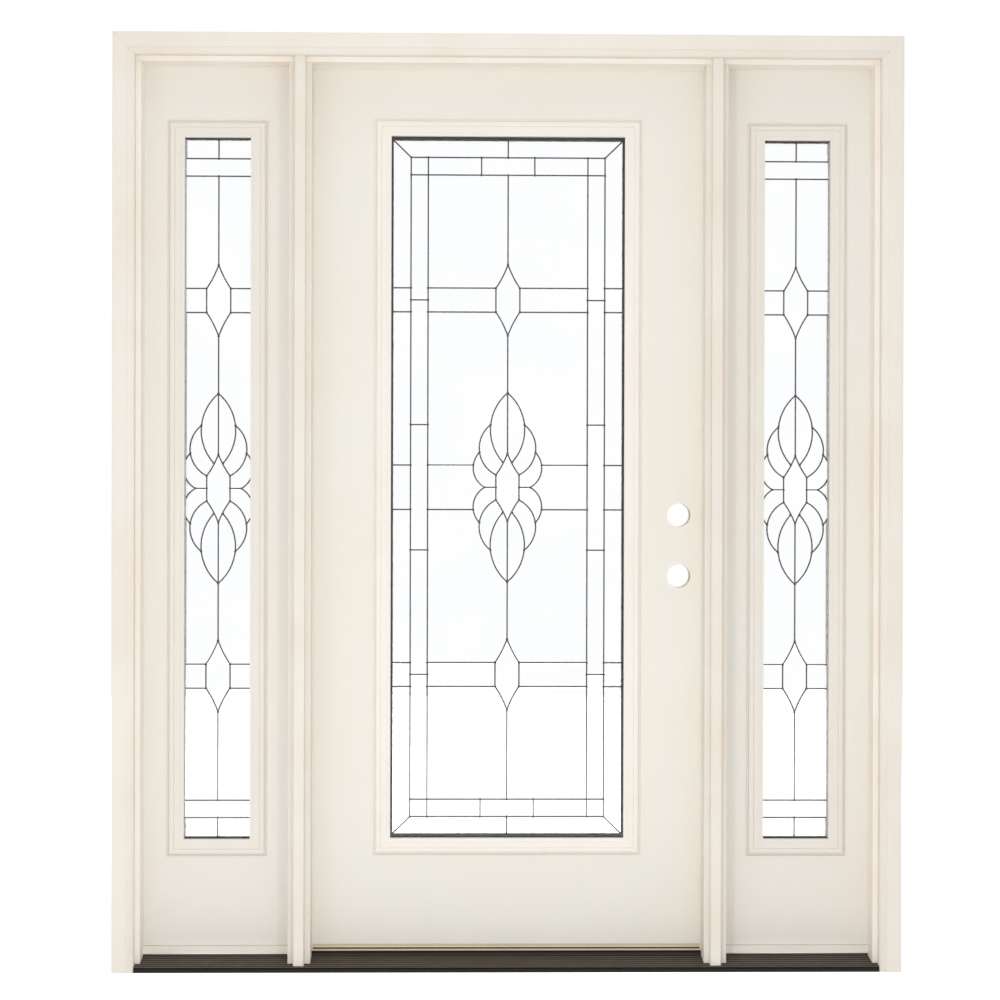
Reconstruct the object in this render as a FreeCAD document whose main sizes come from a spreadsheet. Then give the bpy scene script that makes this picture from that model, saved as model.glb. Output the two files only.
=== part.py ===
"""An entry door unit: an inswing door leaf between two fixed sidelights.

Millimetres. X runs to the right seen from outside, Y into the house, Z up. The origin is on
the underside of the sill, midway across, in the plane of the frame's outside edges.
"""
import FreeCAD, Part
import math
import os
import Sketcher

V = FreeCAD.Vector

# The frame
frame_height = 2076.45  # floor to the top of the head jamb
jamb_depth = 115.9  # thickness of the wall the unit is made for
jamb_thickness = 17.5  # jamb at the rabbet
stop_thickness = 12.7  # stop above the rabbet
rabbet_depth = 50.8  # rabbet that the leaf shuts into
door_opening = 914.4  # between the two mullions' rabbets
side_opening = 357.15  # between a mullion's rabbet and a jamb's
mullion_web = 25.4  # post between the door and a sidelight
cover_width = 25.4  # strip on the front of a mullion
cover_thickness = 19.0  # strip on the front of a mullion
cover_rounding = 3.0  # front edges of the mullion strip

# The brickmould
mould_width = 49.0  # brickmould across its face
mould_thickness = 31.75  # brickmould front to back
mould_reveal = 11.5  # jamb edge left showing inside the brickmould
mould_flat = 33.0  # flat outer land of the brickmould
mould_quirk = 2.2  # step between the land and the inner bead
mould_bead_radius = 22.0  # curve of the inner bead
mould_bead_drop = 4.5  # fall of the bead to the inner edge
mould_rounding = 3.0  # outer front edge of the brickmould

# The sill
sill_projection = 27.0  # sill nose in front of the frame
nose_height = 7.4  # upright foot of the sill's nose
lip_height = 2.2  # front lip of the deck over the nose groove
nose_groove = 3.0  # depth of the groove under the lip
deck_front = 12.0  # height of the deck at the nose
deck_back = 21.5  # height of the deck at the riser
riser_setback = 5.1  # riser in front of the stops' back faces
riser_top = 30.8  # top of the riser above the floor
sill_wall = 2.5  # wall of the metal sill
deck_ribs = 14
rib_pitch = 5.0  # from rib to rib of the deck
rib_gap = 1.8  # groove between two ribs
rib_depth = 0.8  # depth of the grooves in the deck
cap_thickness = 5.2  # threshold cap above the riser
cap_depth = 50.0  # threshold cap front to back
cap_rounding = 1.5  # front edge of the threshold cap
base_top = 44.8  # top of the filler under a sidelight
base_nose = 4.0  # filler in front of the riser

# The door leaf
door_gap = 5.0  # between the leaf and the frame
door_thickness = 44.45  # leaf front to back
skin = 2.0  # face sheet of a leaf or panel
lock_bevel = 2.2  # lock edge narrower on the outside face
sweep_height = 9.7  # door bottom under the leaf
sweep_inset = 0.8  # door bottom behind the leaf's faces
sweep_clearance = 0.3  # door bottom above the threshold cap
fin_height = 2.0  # fins under the door bottom
fin_thickness = 3.0  # fins under the door bottom
seal_width = 10.5  # weatherstrip across
seal_show = 2.0  # weatherstrip past the stop's edge
seal_clearance = 0.3  # weatherstrip to the shut leaf
seal_rounding = 2.5  # round edge of the weatherstrip

# The lock preparation
backset = 60.3  # leaf edge to the centre of the lock bores
bore_radius = 27.0  # cross bores for a latch and a deadbolt
edge_bore_radius = 12.7  # edge bores for the bolts
latch_height = 842.0  # latch bore above the bottom of the leaf
bore_spacing = 139.7  # deadbolt bore above the latch bore

# The lites
door_stile = 165.15  # leaf edge to the cut-out for its glass
bottom_rail = 222.15  # foot of the leaf to the cut-out
top_rail = 142.5  # cut-out to the top of the leaf
side_stile = 83.325  # sidelight panel's edge to the cut-out for its glass
side_bottom_rail = 221.85  # foot of a sidelight panel to the cut-out
side_top_rail = 154.0  # cut-out to the top of a sidelight panel
glass_clearance = 6.35  # round a glass unit in its cut-out
unit_thickness = 25.4  # sealed glass unit front to back
pane_thickness = 3.2  # each pane of a glass unit
lite_overlap = 19.05  # lite frame past its cut-out
glass_bite = 13.9  # lite frame over the glass
lite_lip = 7.5  # bevelled inner lip of the lite frame, across
lite_lip_rise = 4.6  # sight edge of the lip above the skin
lite_bead_rise = 5.8  # outer edge of the lip above the skin
lite_lip_step = 0.6  # slope between the lip and the inner flat, across
lite_flat = 6.8  # inner flat above the skin
lite_groove = 2.4  # groove between the flat and the ridge, across
lite_groove_depth = 1.2  # groove between the flat and the ridge
lite_ridge = 9.8  # ridge across
lite_ridge_rise = 8.0  # inner edge of the ridge above the skin
lite_ridge_fall = 1.0  # outer edge of the ridge below its inner edge
lite_ridge_curve = 1.4  # radius of the ridge's crown for its width
lite_edge = 6.4  # groove and rounded outer edge of the lite frame
lite_edge_groove = 1.8  # groove between the ridge and the rounded edge, across
lite_edge_groove_depth = 2.8  # groove between the ridge and the rounded edge
lite_edge_step = 1.0  # rounded edge below the ridge
lite_edge_curve = 1.6  # radius of the rounded edge for its width
lite_leg_gap = 1.0  # leg of the lite frame to glass and cut-out

# The leaded panel in the glass units, from its centre
came_width = 2.8  # lead came across its face
came_depth = 5.0  # lead came front to back
rim_side = 4.4  # edge spacer showing at the sides of the door's glass
rim_end = 6.8  # edge spacer showing at its top and bottom
side_rim_side = 1.4  # edge spacer showing at the sides of a sidelight's glass
side_rim_end = 3.0  # edge spacer showing at its top and bottom
tile_thickness = 3.0  # cut glass between the cames
border_side = 58.4  # glass edge to the outer upright came
border_end = 59.4  # glass edge to the first level came
strip_width = 39.3  # between the two upright cames
band_width = 40.0  # between the two level cames
band_divider = 61.0  # short cames of the end bands
field_divider = 143.6  # short cames of the upright bands
diamond_centre = 429.5  # diamond above the panel's centre
diamond_half_width = 27.5  # diamond at its shoulders
diamond_shoulder = 27.5  # shoulders from the diamond's centre
diamond_tip = 81.5  # tips from the diamond's centre
heart_half_width = 26.6  # middle jewel at its shoulders
heart_shoulder = 28.8  # middle jewel's shoulders
heart_tip = 78.0  # middle jewel's tips
diamond_hollow = 2.0  # hollow of a jewel's long edges
field_level = 51.0  # level cames beside the flower
petal_top = 217.0  # tip of the first petal
petal_one_width = 39.3  # first petal at its widest
petal_one_level = 137.0  # first petal's widest level
petal_one_foot = 10.8  # first petal's foot on the jewel
petal_two_start = 144.0  # second petal leaves the first at this level
petal_two_width = 64.8  # second petal at its widest
petal_two_level = 95.0  # second petal's widest level
petal_three_start = 80.5  # third petal leaves the second at this level
petal_three_width = 78.6  # third petal at its widest
petal_three_level = 48.0  # third petal's widest level
petal_chords = 5  # straight stretches that a petal's came is bent from
petal_three_foot = 52.6  # third petal's foot on the axis

# The hinges
hinge_length = 101.6  # hinge leaf and barrel
hinge_plate = 3.0  # thickness of a hinge leaf
hinge_width = 31.0  # hinge leaf let into the edge
barrel_radius = 6.5  # hinge barrel
barrel_offset = 8.0  # pin inside the leaf's inner face
pin_radius = 3.0  # hinge pin
pin_clearance = 0.3  # pin in the knuckles
knuckle_gap = 0.4  # between two knuckles
plate_clearance = 0.8  # hinge leaf to the other's knuckles
pin_head_radius = 4.5  # button at the pin's top
pin_head_height = 4.0  # button at the pin's top
top_hinge_drop = 228.6  # top hinge below the leaf's top
bottom_hinge_rise = 330.0  # bottom hinge above the leaf's foot
knuckle_count = 5  # knuckles of a hinge
barrel_sides = 12  # flats round a barrel or pin

# The document and its sheet, which holds every size above under its own name
doc = FreeCAD.newDocument("EntryDoor")
sheet = doc.addObject("Spreadsheet::Sheet", "Sizes")
driving_sizes = {name: value for name, value in globals().items() if isinstance(value, float)}
for row, (name, value) in enumerate(driving_sizes.items(), start=1):
    sheet.set(f"A{row}", name)
    sheet.set(f"B{row}", str(value))
    sheet.setAlias(f"B{row}", name)
doc.recompute()


class Size:
    """A length as a number, together with the sheet formula that gives it."""

    def __init__(self, value, formula):
        self.value = float(value)
        self.formula = formula

    def __add__(self, other):
        other = as_size(other)
        return Size(self.value + other.value, f"({self.formula} + {other.formula})")

    def __sub__(self, other):
        other = as_size(other)
        return Size(self.value - other.value, f"({self.formula} - {other.formula})")

    def __mul__(self, other):
        other = as_size(other)
        return Size(self.value * other.value, f"({self.formula} * {other.formula})")

    def __truediv__(self, other):
        other = as_size(other)
        return Size(self.value / other.value, f"({self.formula} / {other.formula})")

    def __neg__(self):
        return Size(-self.value, f"(0 - {self.formula})")

    def __radd__(self, other):
        return as_size(other) + self

    def __rsub__(self, other):
        return as_size(other) - self

    def __rmul__(self, other):
        return as_size(other) * self


def as_size(number):
    """A plain number as a Size, so that both mix in one sum."""
    if isinstance(number, Size):
        return number
    return Size(number, f"({float(number)!r})")


class SheetSizes:
    """Reads a driving size from the sheet by its name, as in d.door_opening."""

    def __getattr__(self, name):
        return Size(sheet.get(name), f"Sizes.{name}")


d = SheetSizes()


# Places worked out from the driving dimensions
ZERO = as_size(0)
past = as_size(1)  # how far a cut goes beyond the face that it opens
stop_y = d.jamb_depth - d.rabbet_depth
head_rabbet_z = d.frame_height - d.jamb_thickness
head_stop_z = head_rabbet_z - d.stop_thickness
door_rabbet_x = d.door_opening / 2
door_stop_x = door_rabbet_x - d.stop_thickness
side_rabbet_x = door_rabbet_x + d.mullion_web
side_stop_x = side_rabbet_x + d.stop_thickness
jamb_rabbet_x = side_rabbet_x + d.side_opening
jamb_stop_x = jamb_rabbet_x - d.stop_thickness
frame_half = jamb_rabbet_x + d.jamb_thickness
mullion_x = door_rabbet_x + d.mullion_web / 2
mould_inner_x = jamb_stop_x + d.mould_reveal
mould_outer_x = mould_inner_x + d.mould_width
mould_inner_z = head_stop_z + d.mould_reveal
mould_outer_z = mould_inner_z + d.mould_width
riser_y = stop_y - d.riser_setback
deck_slope = (d.deck_back - d.deck_front) / (riser_y + d.sill_projection)
cap_top = d.riser_top + d.cap_thickness

leaf_half = door_rabbet_x - d.door_gap
leaf_top = head_rabbet_z - d.door_gap
leaf_bottom = cap_top + d.sweep_clearance + d.sweep_height
leaf_back = d.jamb_depth
leaf_front = leaf_back - d.door_thickness
leaf_height = leaf_top - leaf_bottom
bore_x = leaf_half - d.backset
latch_z = leaf_bottom + d.latch_height
deadbolt_z = latch_z + d.bore_spacing

side_front = stop_y
side_back = side_front + d.door_thickness
side_x = (side_rabbet_x + jamb_rabbet_x) / 2
side_half = (jamb_rabbet_x - side_rabbet_x) / 2
side_height = head_rabbet_z - d.base_top


class Glass:
    """A sealed glass unit, and how far its edge spacer shows at its sides and its ends."""

    def __init__(self, width, height, rim_side, rim_end):
        self.width = width
        self.height = height
        self.rim_side = rim_side
        self.rim_end = rim_end


door_glass = Glass((leaf_half - d.door_stile - d.glass_clearance) * 2,
                   leaf_height - d.bottom_rail - d.top_rail - d.glass_clearance * 2,
                   d.rim_side, d.rim_end)
side_glass = Glass((side_half - d.side_stile - d.glass_clearance) * 2,
                   side_height - d.side_bottom_rail - d.side_top_rail - d.glass_clearance * 2,
                   d.side_rim_side, d.side_rim_end)
lite_z = leaf_bottom + d.bottom_rail + d.glass_clearance + door_glass.height / 2
side_lite_z = d.base_top + d.side_bottom_rail + d.glass_clearance + side_glass.height / 2

pin_x = -(door_rabbet_x - d.door_gap / 2)
pin_y = leaf_back + d.barrel_offset


def deck_height(y):
    """Height of the sill's sloping deck at a distance y behind the frame's front plane."""
    return d.deck_front + (y + d.sill_projection) * deck_slope


# Sketches and solids
def origin_plane(body, role):
    """The body's own XY_Plane, XZ_Plane or YZ_Plane."""
    return next(part for part in body.Origin.OriginFeatures if part.Role == role)


def arc_between(start, end, radius, side):
    """The short arc between two points, bulging left (1) or right (-1) of the way it goes.

    It comes back counter-clockwise, as a sketch keeps it.
    """
    chord = end - start
    half = chord.Length / 2
    along_chord = V(chord)
    along_chord.normalize()
    left = V(-along_chord.y, along_chord.x, 0)
    away = math.sqrt(max(radius * radius - half * half, 0))
    centre = (start + end) / 2 - left * (side * away)
    first, last = (end, start) if side > 0 else (start, end)
    angles = [math.atan2(point.y - centre.y, point.x - centre.x) for point in (first, last)]
    if angles[1] < angles[0]:
        angles[1] += 2 * math.pi
    return Part.ArcOfCircle(Part.Circle(centre, V(0, 0, 1), radius), *angles)


def draw_outline(sketch, outline):
    """Draws a closed outline and ties each corner, and each arc's radius, to the sheet.

    A corner is a pair of Sizes. A third item, a pair of radius and side, bends the edge that
    leaves the corner.
    """
    points = [V(corner[0].value, corner[1].value, 0) for corner in outline]
    first = sketch.GeometryCount
    count = len(outline)
    for number, corner in enumerate(outline):
        start = points[number]
        end = points[(number + 1) % count]
        if len(corner) == 3:
            radius, side = corner[2]
            sketch.addGeometry(arc_between(start, end, radius.value, side), False)
        else:
            sketch.addGeometry(Part.LineSegment(start, end), False)
    backwards = [len(corner) == 3 and corner[2][1] > 0 for corner in outline]
    starts = [2 if turned else 1 for turned in backwards]
    ends = [1 if turned else 2 for turned in backwards]
    for number, corner in enumerate(outline):
        following = (number + 1) % count
        sketch.addConstraint(Sketcher.Constraint(
            "Coincident", first + number, ends[number], first + following, starts[following]))
        tie(sketch, "DistanceX", first + number, starts[number], corner[0])
        tie(sketch, "DistanceY", first + number, starts[number], corner[1])
        if len(corner) == 3:
            radius = corner[2][0]
            index = sketch.addConstraint(
                Sketcher.Constraint("Radius", first + number, radius.value))
            sketch.setExpression(f"Constraints[{index}]", radius.formula)


def tie(sketch, kind, item, end, size):
    """Holds one coordinate of a point at a Size from the sketch's origin."""
    index = sketch.addConstraint(Sketcher.Constraint(kind, -1, 1, item, end, size.value))
    sketch.setExpression(f"Constraints[{index}]", size.formula)


def draw_circle(sketch, x, y, radius):
    item = sketch.addGeometry(Part.Circle(V(x.value, y.value, 0), V(0, 0, 1), radius.value), False)
    tie(sketch, "DistanceX", item, 3, x)
    tie(sketch, "DistanceY", item, 3, y)
    index = sketch.addConstraint(Sketcher.Constraint("Radius", item, radius.value))
    sketch.setExpression(f"Constraints[{index}]", radius.formula)


def new_body(label):
    body = doc.addObject("PartDesign::Body", label)
    body.Label = label
    return body


def new_sketch(body, role, at, name):
    """A sketch on one of the body's origin planes, moved along the plane's normal to 'at'."""
    sketch = body.newObject("Sketcher::SketchObject", f"{body.Name}_{name}")
    sketch.AttachmentSupport = [(origin_plane(body, role), "")]
    sketch.MapMode = "FlatFace"
    offset = -at if role == "XZ_Plane" else at
    sketch.AttachmentOffset = FreeCAD.Placement(V(0, 0, offset.value), FreeCAD.Rotation())
    sketch.setExpression("AttachmentOffset.Base.z", offset.formula)
    return sketch


def add_pad(body, role, low, high, outlines, circles=()):
    """Material between low and high along the plane's axis, inside the outlines drawn."""
    name = f"pad{len(body.Group)}"
    sketch = new_sketch(body, role, low, f"{name}_outline")
    for outline in outlines:
        draw_outline(sketch, outline)
    for x, y, radius in circles:
        draw_circle(sketch, x, y, radius)
    pad = body.newObject("PartDesign::Pad", f"{body.Name}_{name}")
    pad.Profile = sketch
    pad.Type = "Length"
    pad.Reversed = role == "XZ_Plane"
    length = high - low
    pad.Length = length.value
    pad.setExpression("Length", length.formula)
    return pad


def add_pocket(body, role, low, high, outlines, circles=()):
    """Takes away what lies between low and high inside the outlines, and must cut something."""
    doc.recompute()
    before = body.Shape.Volume
    name = f"pocket{len(body.Group)}"
    sketch = new_sketch(body, role, low, f"{name}_outline")
    for outline in outlines:
        draw_outline(sketch, outline)
    for x, y, radius in circles:
        draw_circle(sketch, x, y, radius)
    pocket = body.newObject("PartDesign::Pocket", f"{body.Name}_{name}")
    pocket.Profile = sketch
    pocket.Type = "Length"
    pocket.Reversed = role != "XZ_Plane"
    length = high - low
    pocket.Length = length.value
    pocket.setExpression("Length", length.formula)
    doc.recompute()
    least_cut = 0.01
    if not body.Shape.Volume < before - least_cut:
        raise RuntimeError(f"{body.Label}: {name} cuts nothing")
    return pocket


def rectangle(low_x, low_y, high_x, high_y):
    return [(low_x, low_y), (high_x, low_y), (high_x, high_y), (low_x, high_y)]


def along(side, size):
    """A distance across, to the left of the middle (side -1) or to the right (side 1)."""
    return size * side


parts = []


def finish(item, label=None):
    """Keeps an object as one of the unit's own pieces."""
    if label:
        item.Label = label
    parts.append(item)
    return item


def compound(label, pieces):
    """Several like solids of one piece name."""
    group = doc.addObject("Part::Compound", label)
    group.Links = pieces
    return finish(group, label)


def cut(label, base, tool):
    piece = doc.addObject("Part::Cut", label)
    piece.Base = base
    piece.Tool = tool
    return piece


# The sill
def sill_outline(ribbed):
    """The sill's metal skin over its base, from the nose to the house side."""
    nose_y = -d.sill_projection
    outline = [
        (nose_y, ZERO),
        (nose_y, d.nose_height),
        (nose_y + d.nose_groove, d.nose_height),
        (nose_y + d.nose_groove, d.deck_front - d.lip_height),
        (nose_y, d.deck_front - d.lip_height),
        (nose_y, d.deck_front),
    ]
    if ribbed:
        for rib in range(1, deck_ribs + 1):
            start = nose_y + d.rib_pitch * rib
            end = start + d.rib_gap
            outline += [
                (start, deck_height(start)),
                (start, deck_height(start) - d.rib_depth),
                (end, deck_height(end) - d.rib_depth),
                (end, deck_height(end)),
            ]
    outline += [
        (riser_y, d.deck_back),
        (riser_y, d.riser_top),
        (d.jamb_depth, d.riser_top),
    ]
    return outline


def sill_underside():
    """The metal skin's inner line, from the house side back to the nose."""
    inner_nose = d.nose_groove + d.sill_wall - d.sill_projection
    inner_riser = riser_y + d.sill_wall
    return [
        (d.jamb_depth, d.riser_top - d.sill_wall),
        (inner_riser, d.riser_top - d.sill_wall),
        (inner_riser, deck_height(inner_riser) - d.sill_wall),
        (inner_nose, deck_height(inner_nose) - d.sill_wall),
        (inner_nose, ZERO),
    ]


def nose_ends():
    """What the brickmoulds take off the ends of the projecting nose."""
    reach = d.sill_projection + past
    return [
        rectangle(*sorted_pair(along(side, mould_inner_x), along(side, frame_half + past), -reach, ZERO))
        for side in (-1, 1)
    ]


def sorted_pair(x_one, x_two, low_y, high_y):
    """Corner sizes of a rectangle, with the lower x first."""
    if x_one.value <= x_two.value:
        return x_one, low_y, x_two, high_y
    return x_two, low_y, x_one, high_y


def make_sill():
    deck = new_body("sill_deck")
    add_pad(deck, "YZ_Plane", -frame_half, frame_half, [sill_outline(True) + sill_underside()])
    add_pocket(deck, "XY_Plane", -past, d.deck_back, nose_ends())
    finish(deck)

    base = new_body("sill_base")
    underside = sill_underside()
    add_pad(base, "YZ_Plane", -frame_half, frame_half, [underside + [(d.jamb_depth, ZERO)]])
    add_pocket(base, "XY_Plane", -past, d.deck_back, nose_ends())
    finish(base)

    cap = new_body("sill_cap")
    cap_back = riser_y + d.cap_depth
    add_pad(cap, "YZ_Plane", -door_rabbet_x, door_rabbet_x, [[
        (riser_y, d.riser_top),
        (riser_y, cap_top - d.cap_rounding, (d.cap_rounding, 1)),
        (riser_y + d.cap_rounding, cap_top),
        (cap_back - d.cap_rounding, cap_top, (d.cap_rounding, 1)),
        (cap_back, cap_top - d.cap_rounding),
        (cap_back, d.riser_top),
    ]])
    notches = [
        rectangle(*sorted_pair(along(side, door_stop_x), along(side, door_rabbet_x + past),
                               riser_y - past, stop_y))
        for side in (-1, 1)
    ]
    add_pocket(cap, "XY_Plane", d.riser_top - past, cap_top + past, notches)
    finish(cap)


def make_sill_envelope():
    """The sill's outside, unribbed, which jambs and mullions are coped to."""
    envelope = new_body("sill_envelope")
    outline = sill_outline(False) + [(d.jamb_depth, -past), (-d.sill_projection, -past)]
    outline = outline[1:]
    add_pad(envelope, "YZ_Plane", -frame_half - past, frame_half + past, [outline])
    return envelope


# The frame
def make_jamb(side, name, envelope):
    """A side jamb: the rabbet towards the house, the stop towards the outside."""
    blank = new_body(f"jamb_{name}_blank")
    add_pad(blank, "XY_Plane", ZERO, d.frame_height, [[
        (along(side, frame_half), ZERO),
        (along(side, jamb_stop_x), ZERO),
        (along(side, jamb_stop_x), stop_y),
        (along(side, jamb_rabbet_x), stop_y),
        (along(side, jamb_rabbet_x), d.jamb_depth),
        (along(side, frame_half), d.jamb_depth),
    ]])
    notch = rectangle(*sorted_pair(along(side, jamb_rabbet_x), along(side, jamb_stop_x - past),
                                   -past, stop_y + past))
    add_pocket(blank, "XY_Plane", head_stop_z, d.frame_height + past, [notch])
    finish(cut(f"jamb_{name}", blank, envelope))


def make_head():
    head = new_body("head_jamb")
    add_pad(head, "YZ_Plane", -jamb_rabbet_x, jamb_rabbet_x, [[
        (ZERO, d.frame_height),
        (ZERO, head_stop_z),
        (stop_y, head_stop_z),
        (stop_y, head_rabbet_z),
        (d.jamb_depth, head_rabbet_z),
        (d.jamb_depth, d.frame_height),
    ]])
    finish(head)


def make_mullion(side, name, envelope, mortises):
    """A post between the door and a sidelight, with a stop on either side."""
    blank = new_body(f"mullion_{name}_blank")
    add_pad(blank, "XY_Plane", ZERO, head_rabbet_z, [[
        (along(side, door_stop_x), ZERO),
        (along(side, side_stop_x), ZERO),
        (along(side, side_stop_x), stop_y),
        (along(side, side_rabbet_x), stop_y),
        (along(side, side_rabbet_x), d.jamb_depth),
        (along(side, door_rabbet_x), d.jamb_depth),
        (along(side, door_rabbet_x), stop_y),
        (along(side, door_stop_x), stop_y),
    ]])
    top = rectangle(*sorted_pair(along(side, door_stop_x - past), along(side, side_stop_x + past),
                                 -past, stop_y))
    add_pocket(blank, "XY_Plane", head_stop_z, head_rabbet_z + past, [top])
    for low, high in mortises:
        plate = rectangle(-door_rabbet_x - d.hinge_plate, d.jamb_depth - d.hinge_width,
                          -door_rabbet_x + past, d.jamb_depth + past)
        add_pocket(blank, "XY_Plane", low, high, [plate])
    finish(cut(f"mullion_{name}", blank, envelope))


def make_mullion_cover(side, name, envelope):
    """The strip that stands on the sill's deck and hides the mullion's front."""
    blank = new_body(f"mullion_cover_{name}_blank")
    near = mullion_x - d.cover_width / 2
    far = mullion_x + d.cover_width / 2
    bend = 1 if side < 0 else -1
    add_pad(blank, "XY_Plane", ZERO, mould_inner_z, [[
        (along(side, near), ZERO),
        (along(side, near), d.cover_rounding - d.cover_thickness, (d.cover_rounding, bend)),
        (along(side, near + d.cover_rounding), -d.cover_thickness),
        (along(side, far - d.cover_rounding), -d.cover_thickness, (d.cover_rounding, bend)),
        (along(side, far), d.cover_rounding - d.cover_thickness),
        (along(side, far), ZERO),
    ]])
    finish(cut(f"mullion_cover_{name}", blank, envelope))


# The brickmould
def mould_outline(across, bend):
    """The brickmould's section; 'across' turns a distance from its inner edge into a place."""
    front = -d.mould_thickness
    return [
        (across(d.mould_width), ZERO),
        (across(d.mould_width), front + d.mould_rounding, (d.mould_rounding, bend)),
        (across(d.mould_width - d.mould_rounding), front),
        (across(d.mould_width - d.mould_flat), front),
        (across(d.mould_width - d.mould_flat), front + d.mould_quirk, (d.mould_bead_radius, bend)),
        (across(ZERO), front + d.mould_quirk + d.mould_bead_drop),
        (across(ZERO), ZERO),
    ]


def make_side_mould(side, name):
    body = new_body(f"brickmould_{name}")
    outline = mould_outline(lambda size: along(side, mould_inner_x + size), side)
    add_pad(body, "XY_Plane", ZERO, mould_outer_z, [outline])
    reach = 2
    mitre = [
        (along(side, mould_inner_x - reach), mould_inner_z - reach),
        (along(side, mould_outer_x + reach), mould_outer_z + reach),
        (along(side, mould_inner_x - reach), mould_outer_z + reach),
    ]
    add_pocket(body, "XZ_Plane", -d.mould_thickness - past, past, [mitre])
    finish(body)


def make_head_mould():
    body = new_body("brickmould_head")
    outline = [(corner[1], corner[0]) + corner[2:]
               for corner in mould_outline(lambda size: mould_inner_z + size, -1)]
    add_pad(body, "YZ_Plane", -mould_outer_x, mould_outer_x, [outline])
    reach = 2
    mitres = [[
        (along(side, mould_inner_x - reach), mould_inner_z - reach),
        (along(side, mould_outer_x + reach), mould_outer_z + reach),
        (along(side, mould_outer_x + reach), mould_inner_z - reach),
    ] for side in (-1, 1)]
    add_pocket(body, "XZ_Plane", -d.mould_thickness - past, past, mitres)
    finish(body)


# The weatherstrips round the leaf
def seal_outline(across, bend):
    """A strip on a stop's back face; 'across' counts from the strip's showing edge."""
    back = leaf_front - d.seal_clearance
    return [
        (across(ZERO), stop_y),
        (across(ZERO), back - d.seal_rounding, (d.seal_rounding, bend)),
        (across(d.seal_rounding), back),
        (across(d.seal_width), back),
        (across(d.seal_width), stop_y),
    ]


def make_seals():
    edge = door_stop_x - d.seal_show
    top = head_stop_z - d.seal_show
    for side, name in ((-1, "hinge_side"), (1, "lock_side")):
        body = new_body(f"door_seal_{name}")
        outline = seal_outline(lambda size: along(side, edge + size), side)
        add_pad(body, "XY_Plane", cap_top, top, [outline])
        finish(body)
    head = new_body("door_seal_head")
    outline = [(corner[1], corner[0]) + corner[2:]
               for corner in seal_outline(lambda size: top + size, -1)]
    add_pad(head, "YZ_Plane", -door_rabbet_x, door_rabbet_x, [outline])
    finish(head)


# The leaf and the sidelight panels
def cutout(glass, x, z):
    """The hole for a glass unit."""
    half_width = glass.width / 2 + d.glass_clearance
    half_height = glass.height / 2 + d.glass_clearance
    return rectangle(x - half_width, z - half_height, x + half_width, z + half_height)


def lock_edge(y):
    """The leaf's lock edge, which leans back towards the outside."""
    return leaf_half - d.lock_bevel * (leaf_back - y) / d.door_thickness


def make_leaf(hinges):
    hole = cutout(door_glass, ZERO, lite_z)
    bores = [(bore_x, latch_z, d.bore_radius), (bore_x, deadbolt_z, d.bore_radius)]
    for name, low in (("outside", leaf_front), ("inside", leaf_back - d.skin)):
        body = new_body(f"door_skin_{name}")
        edge = lock_edge(low)
        add_pad(body, "XZ_Plane", low, low + d.skin,
                [rectangle(-leaf_half, leaf_bottom, edge, leaf_top), hole], bores)
        if name == "inside":
            for bottom, top in hinges:
                plate = rectangle(-leaf_half - past, bottom, -leaf_half + d.hinge_plate, top)
                add_pocket(body, "XZ_Plane", low - past, leaf_back + past, [plate])
        finish(body)

    hole_half = door_glass.width / 2 + d.glass_clearance
    hole_bottom = lite_z - door_glass.height / 2 - d.glass_clearance
    hole_top = lite_z + door_glass.height / 2 + d.glass_clearance
    front = leaf_front + d.skin
    back = leaf_back - d.skin

    hinge_stile = new_body("door_hinge_stile")
    add_pad(hinge_stile, "XZ_Plane", front, back,
            [rectangle(-leaf_half, leaf_bottom, -hole_half, leaf_top)])
    for bottom, top in hinges:
        plate = rectangle(-leaf_half - past, bottom, -leaf_half + d.hinge_plate, top)
        add_pocket(hinge_stile, "XZ_Plane", leaf_back - d.hinge_width, back + past, [plate])
    finish(hinge_stile)

    lock_stile = new_body("door_lock_stile")
    add_pad(lock_stile, "XY_Plane", leaf_bottom, leaf_top, [[
        (hole_half, front), (lock_edge(front), front), (lock_edge(back), back), (hole_half, back)]])
    add_pocket(lock_stile, "XZ_Plane", front - past, back + past, [], bores)
    middle = (leaf_front + leaf_back) / 2
    add_pocket(lock_stile, "YZ_Plane", bore_x, leaf_half + past, [],
               [(middle, latch_z, d.edge_bore_radius), (middle, deadbolt_z, d.edge_bore_radius)])
    finish(lock_stile)

    for name, low, high in (("top", hole_top, leaf_top), ("bottom", leaf_bottom, hole_bottom)):
        rail = new_body(f"door_{name}_rail")
        add_pad(rail, "XZ_Plane", front, back, [rectangle(-hole_half, low, hole_half, high)])
        finish(rail)


def make_sweep():
    """The door bottom: a bar across the leaf's foot with three fins under it."""
    body = new_body("door_sweep")
    low = cap_top + d.sweep_clearance
    foot = low + d.fin_height
    front = leaf_front + d.sweep_inset
    back = leaf_back - d.sweep_inset
    middle = (front + back - d.fin_thickness) / 2
    outline = [(front, leaf_bottom)]
    for start in (front, middle, back - d.fin_thickness):
        outline += [(start, foot), (start, low), (start + d.fin_thickness, low),
                    (start + d.fin_thickness, foot)]
    outline += [(back, leaf_bottom)]
    outline = [outline[0]] + outline[2:-2] + [outline[-1]]
    add_pad(body, "YZ_Plane", -leaf_half, lock_edge(leaf_front), [outline])
    finish(body)


def make_side_panel(side, name):
    """A fixed panel between a mullion and a jamb, tight against their stops."""
    body = new_body(f"sidelight_panel_{name}")
    x = along(side, side_x)
    add_pad(body, "XZ_Plane", side_front, side_back,
            [rectangle(x - side_half, d.base_top, x + side_half, head_rabbet_z),
             cutout(side_glass, x, side_lite_z)])
    finish(body)


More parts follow.
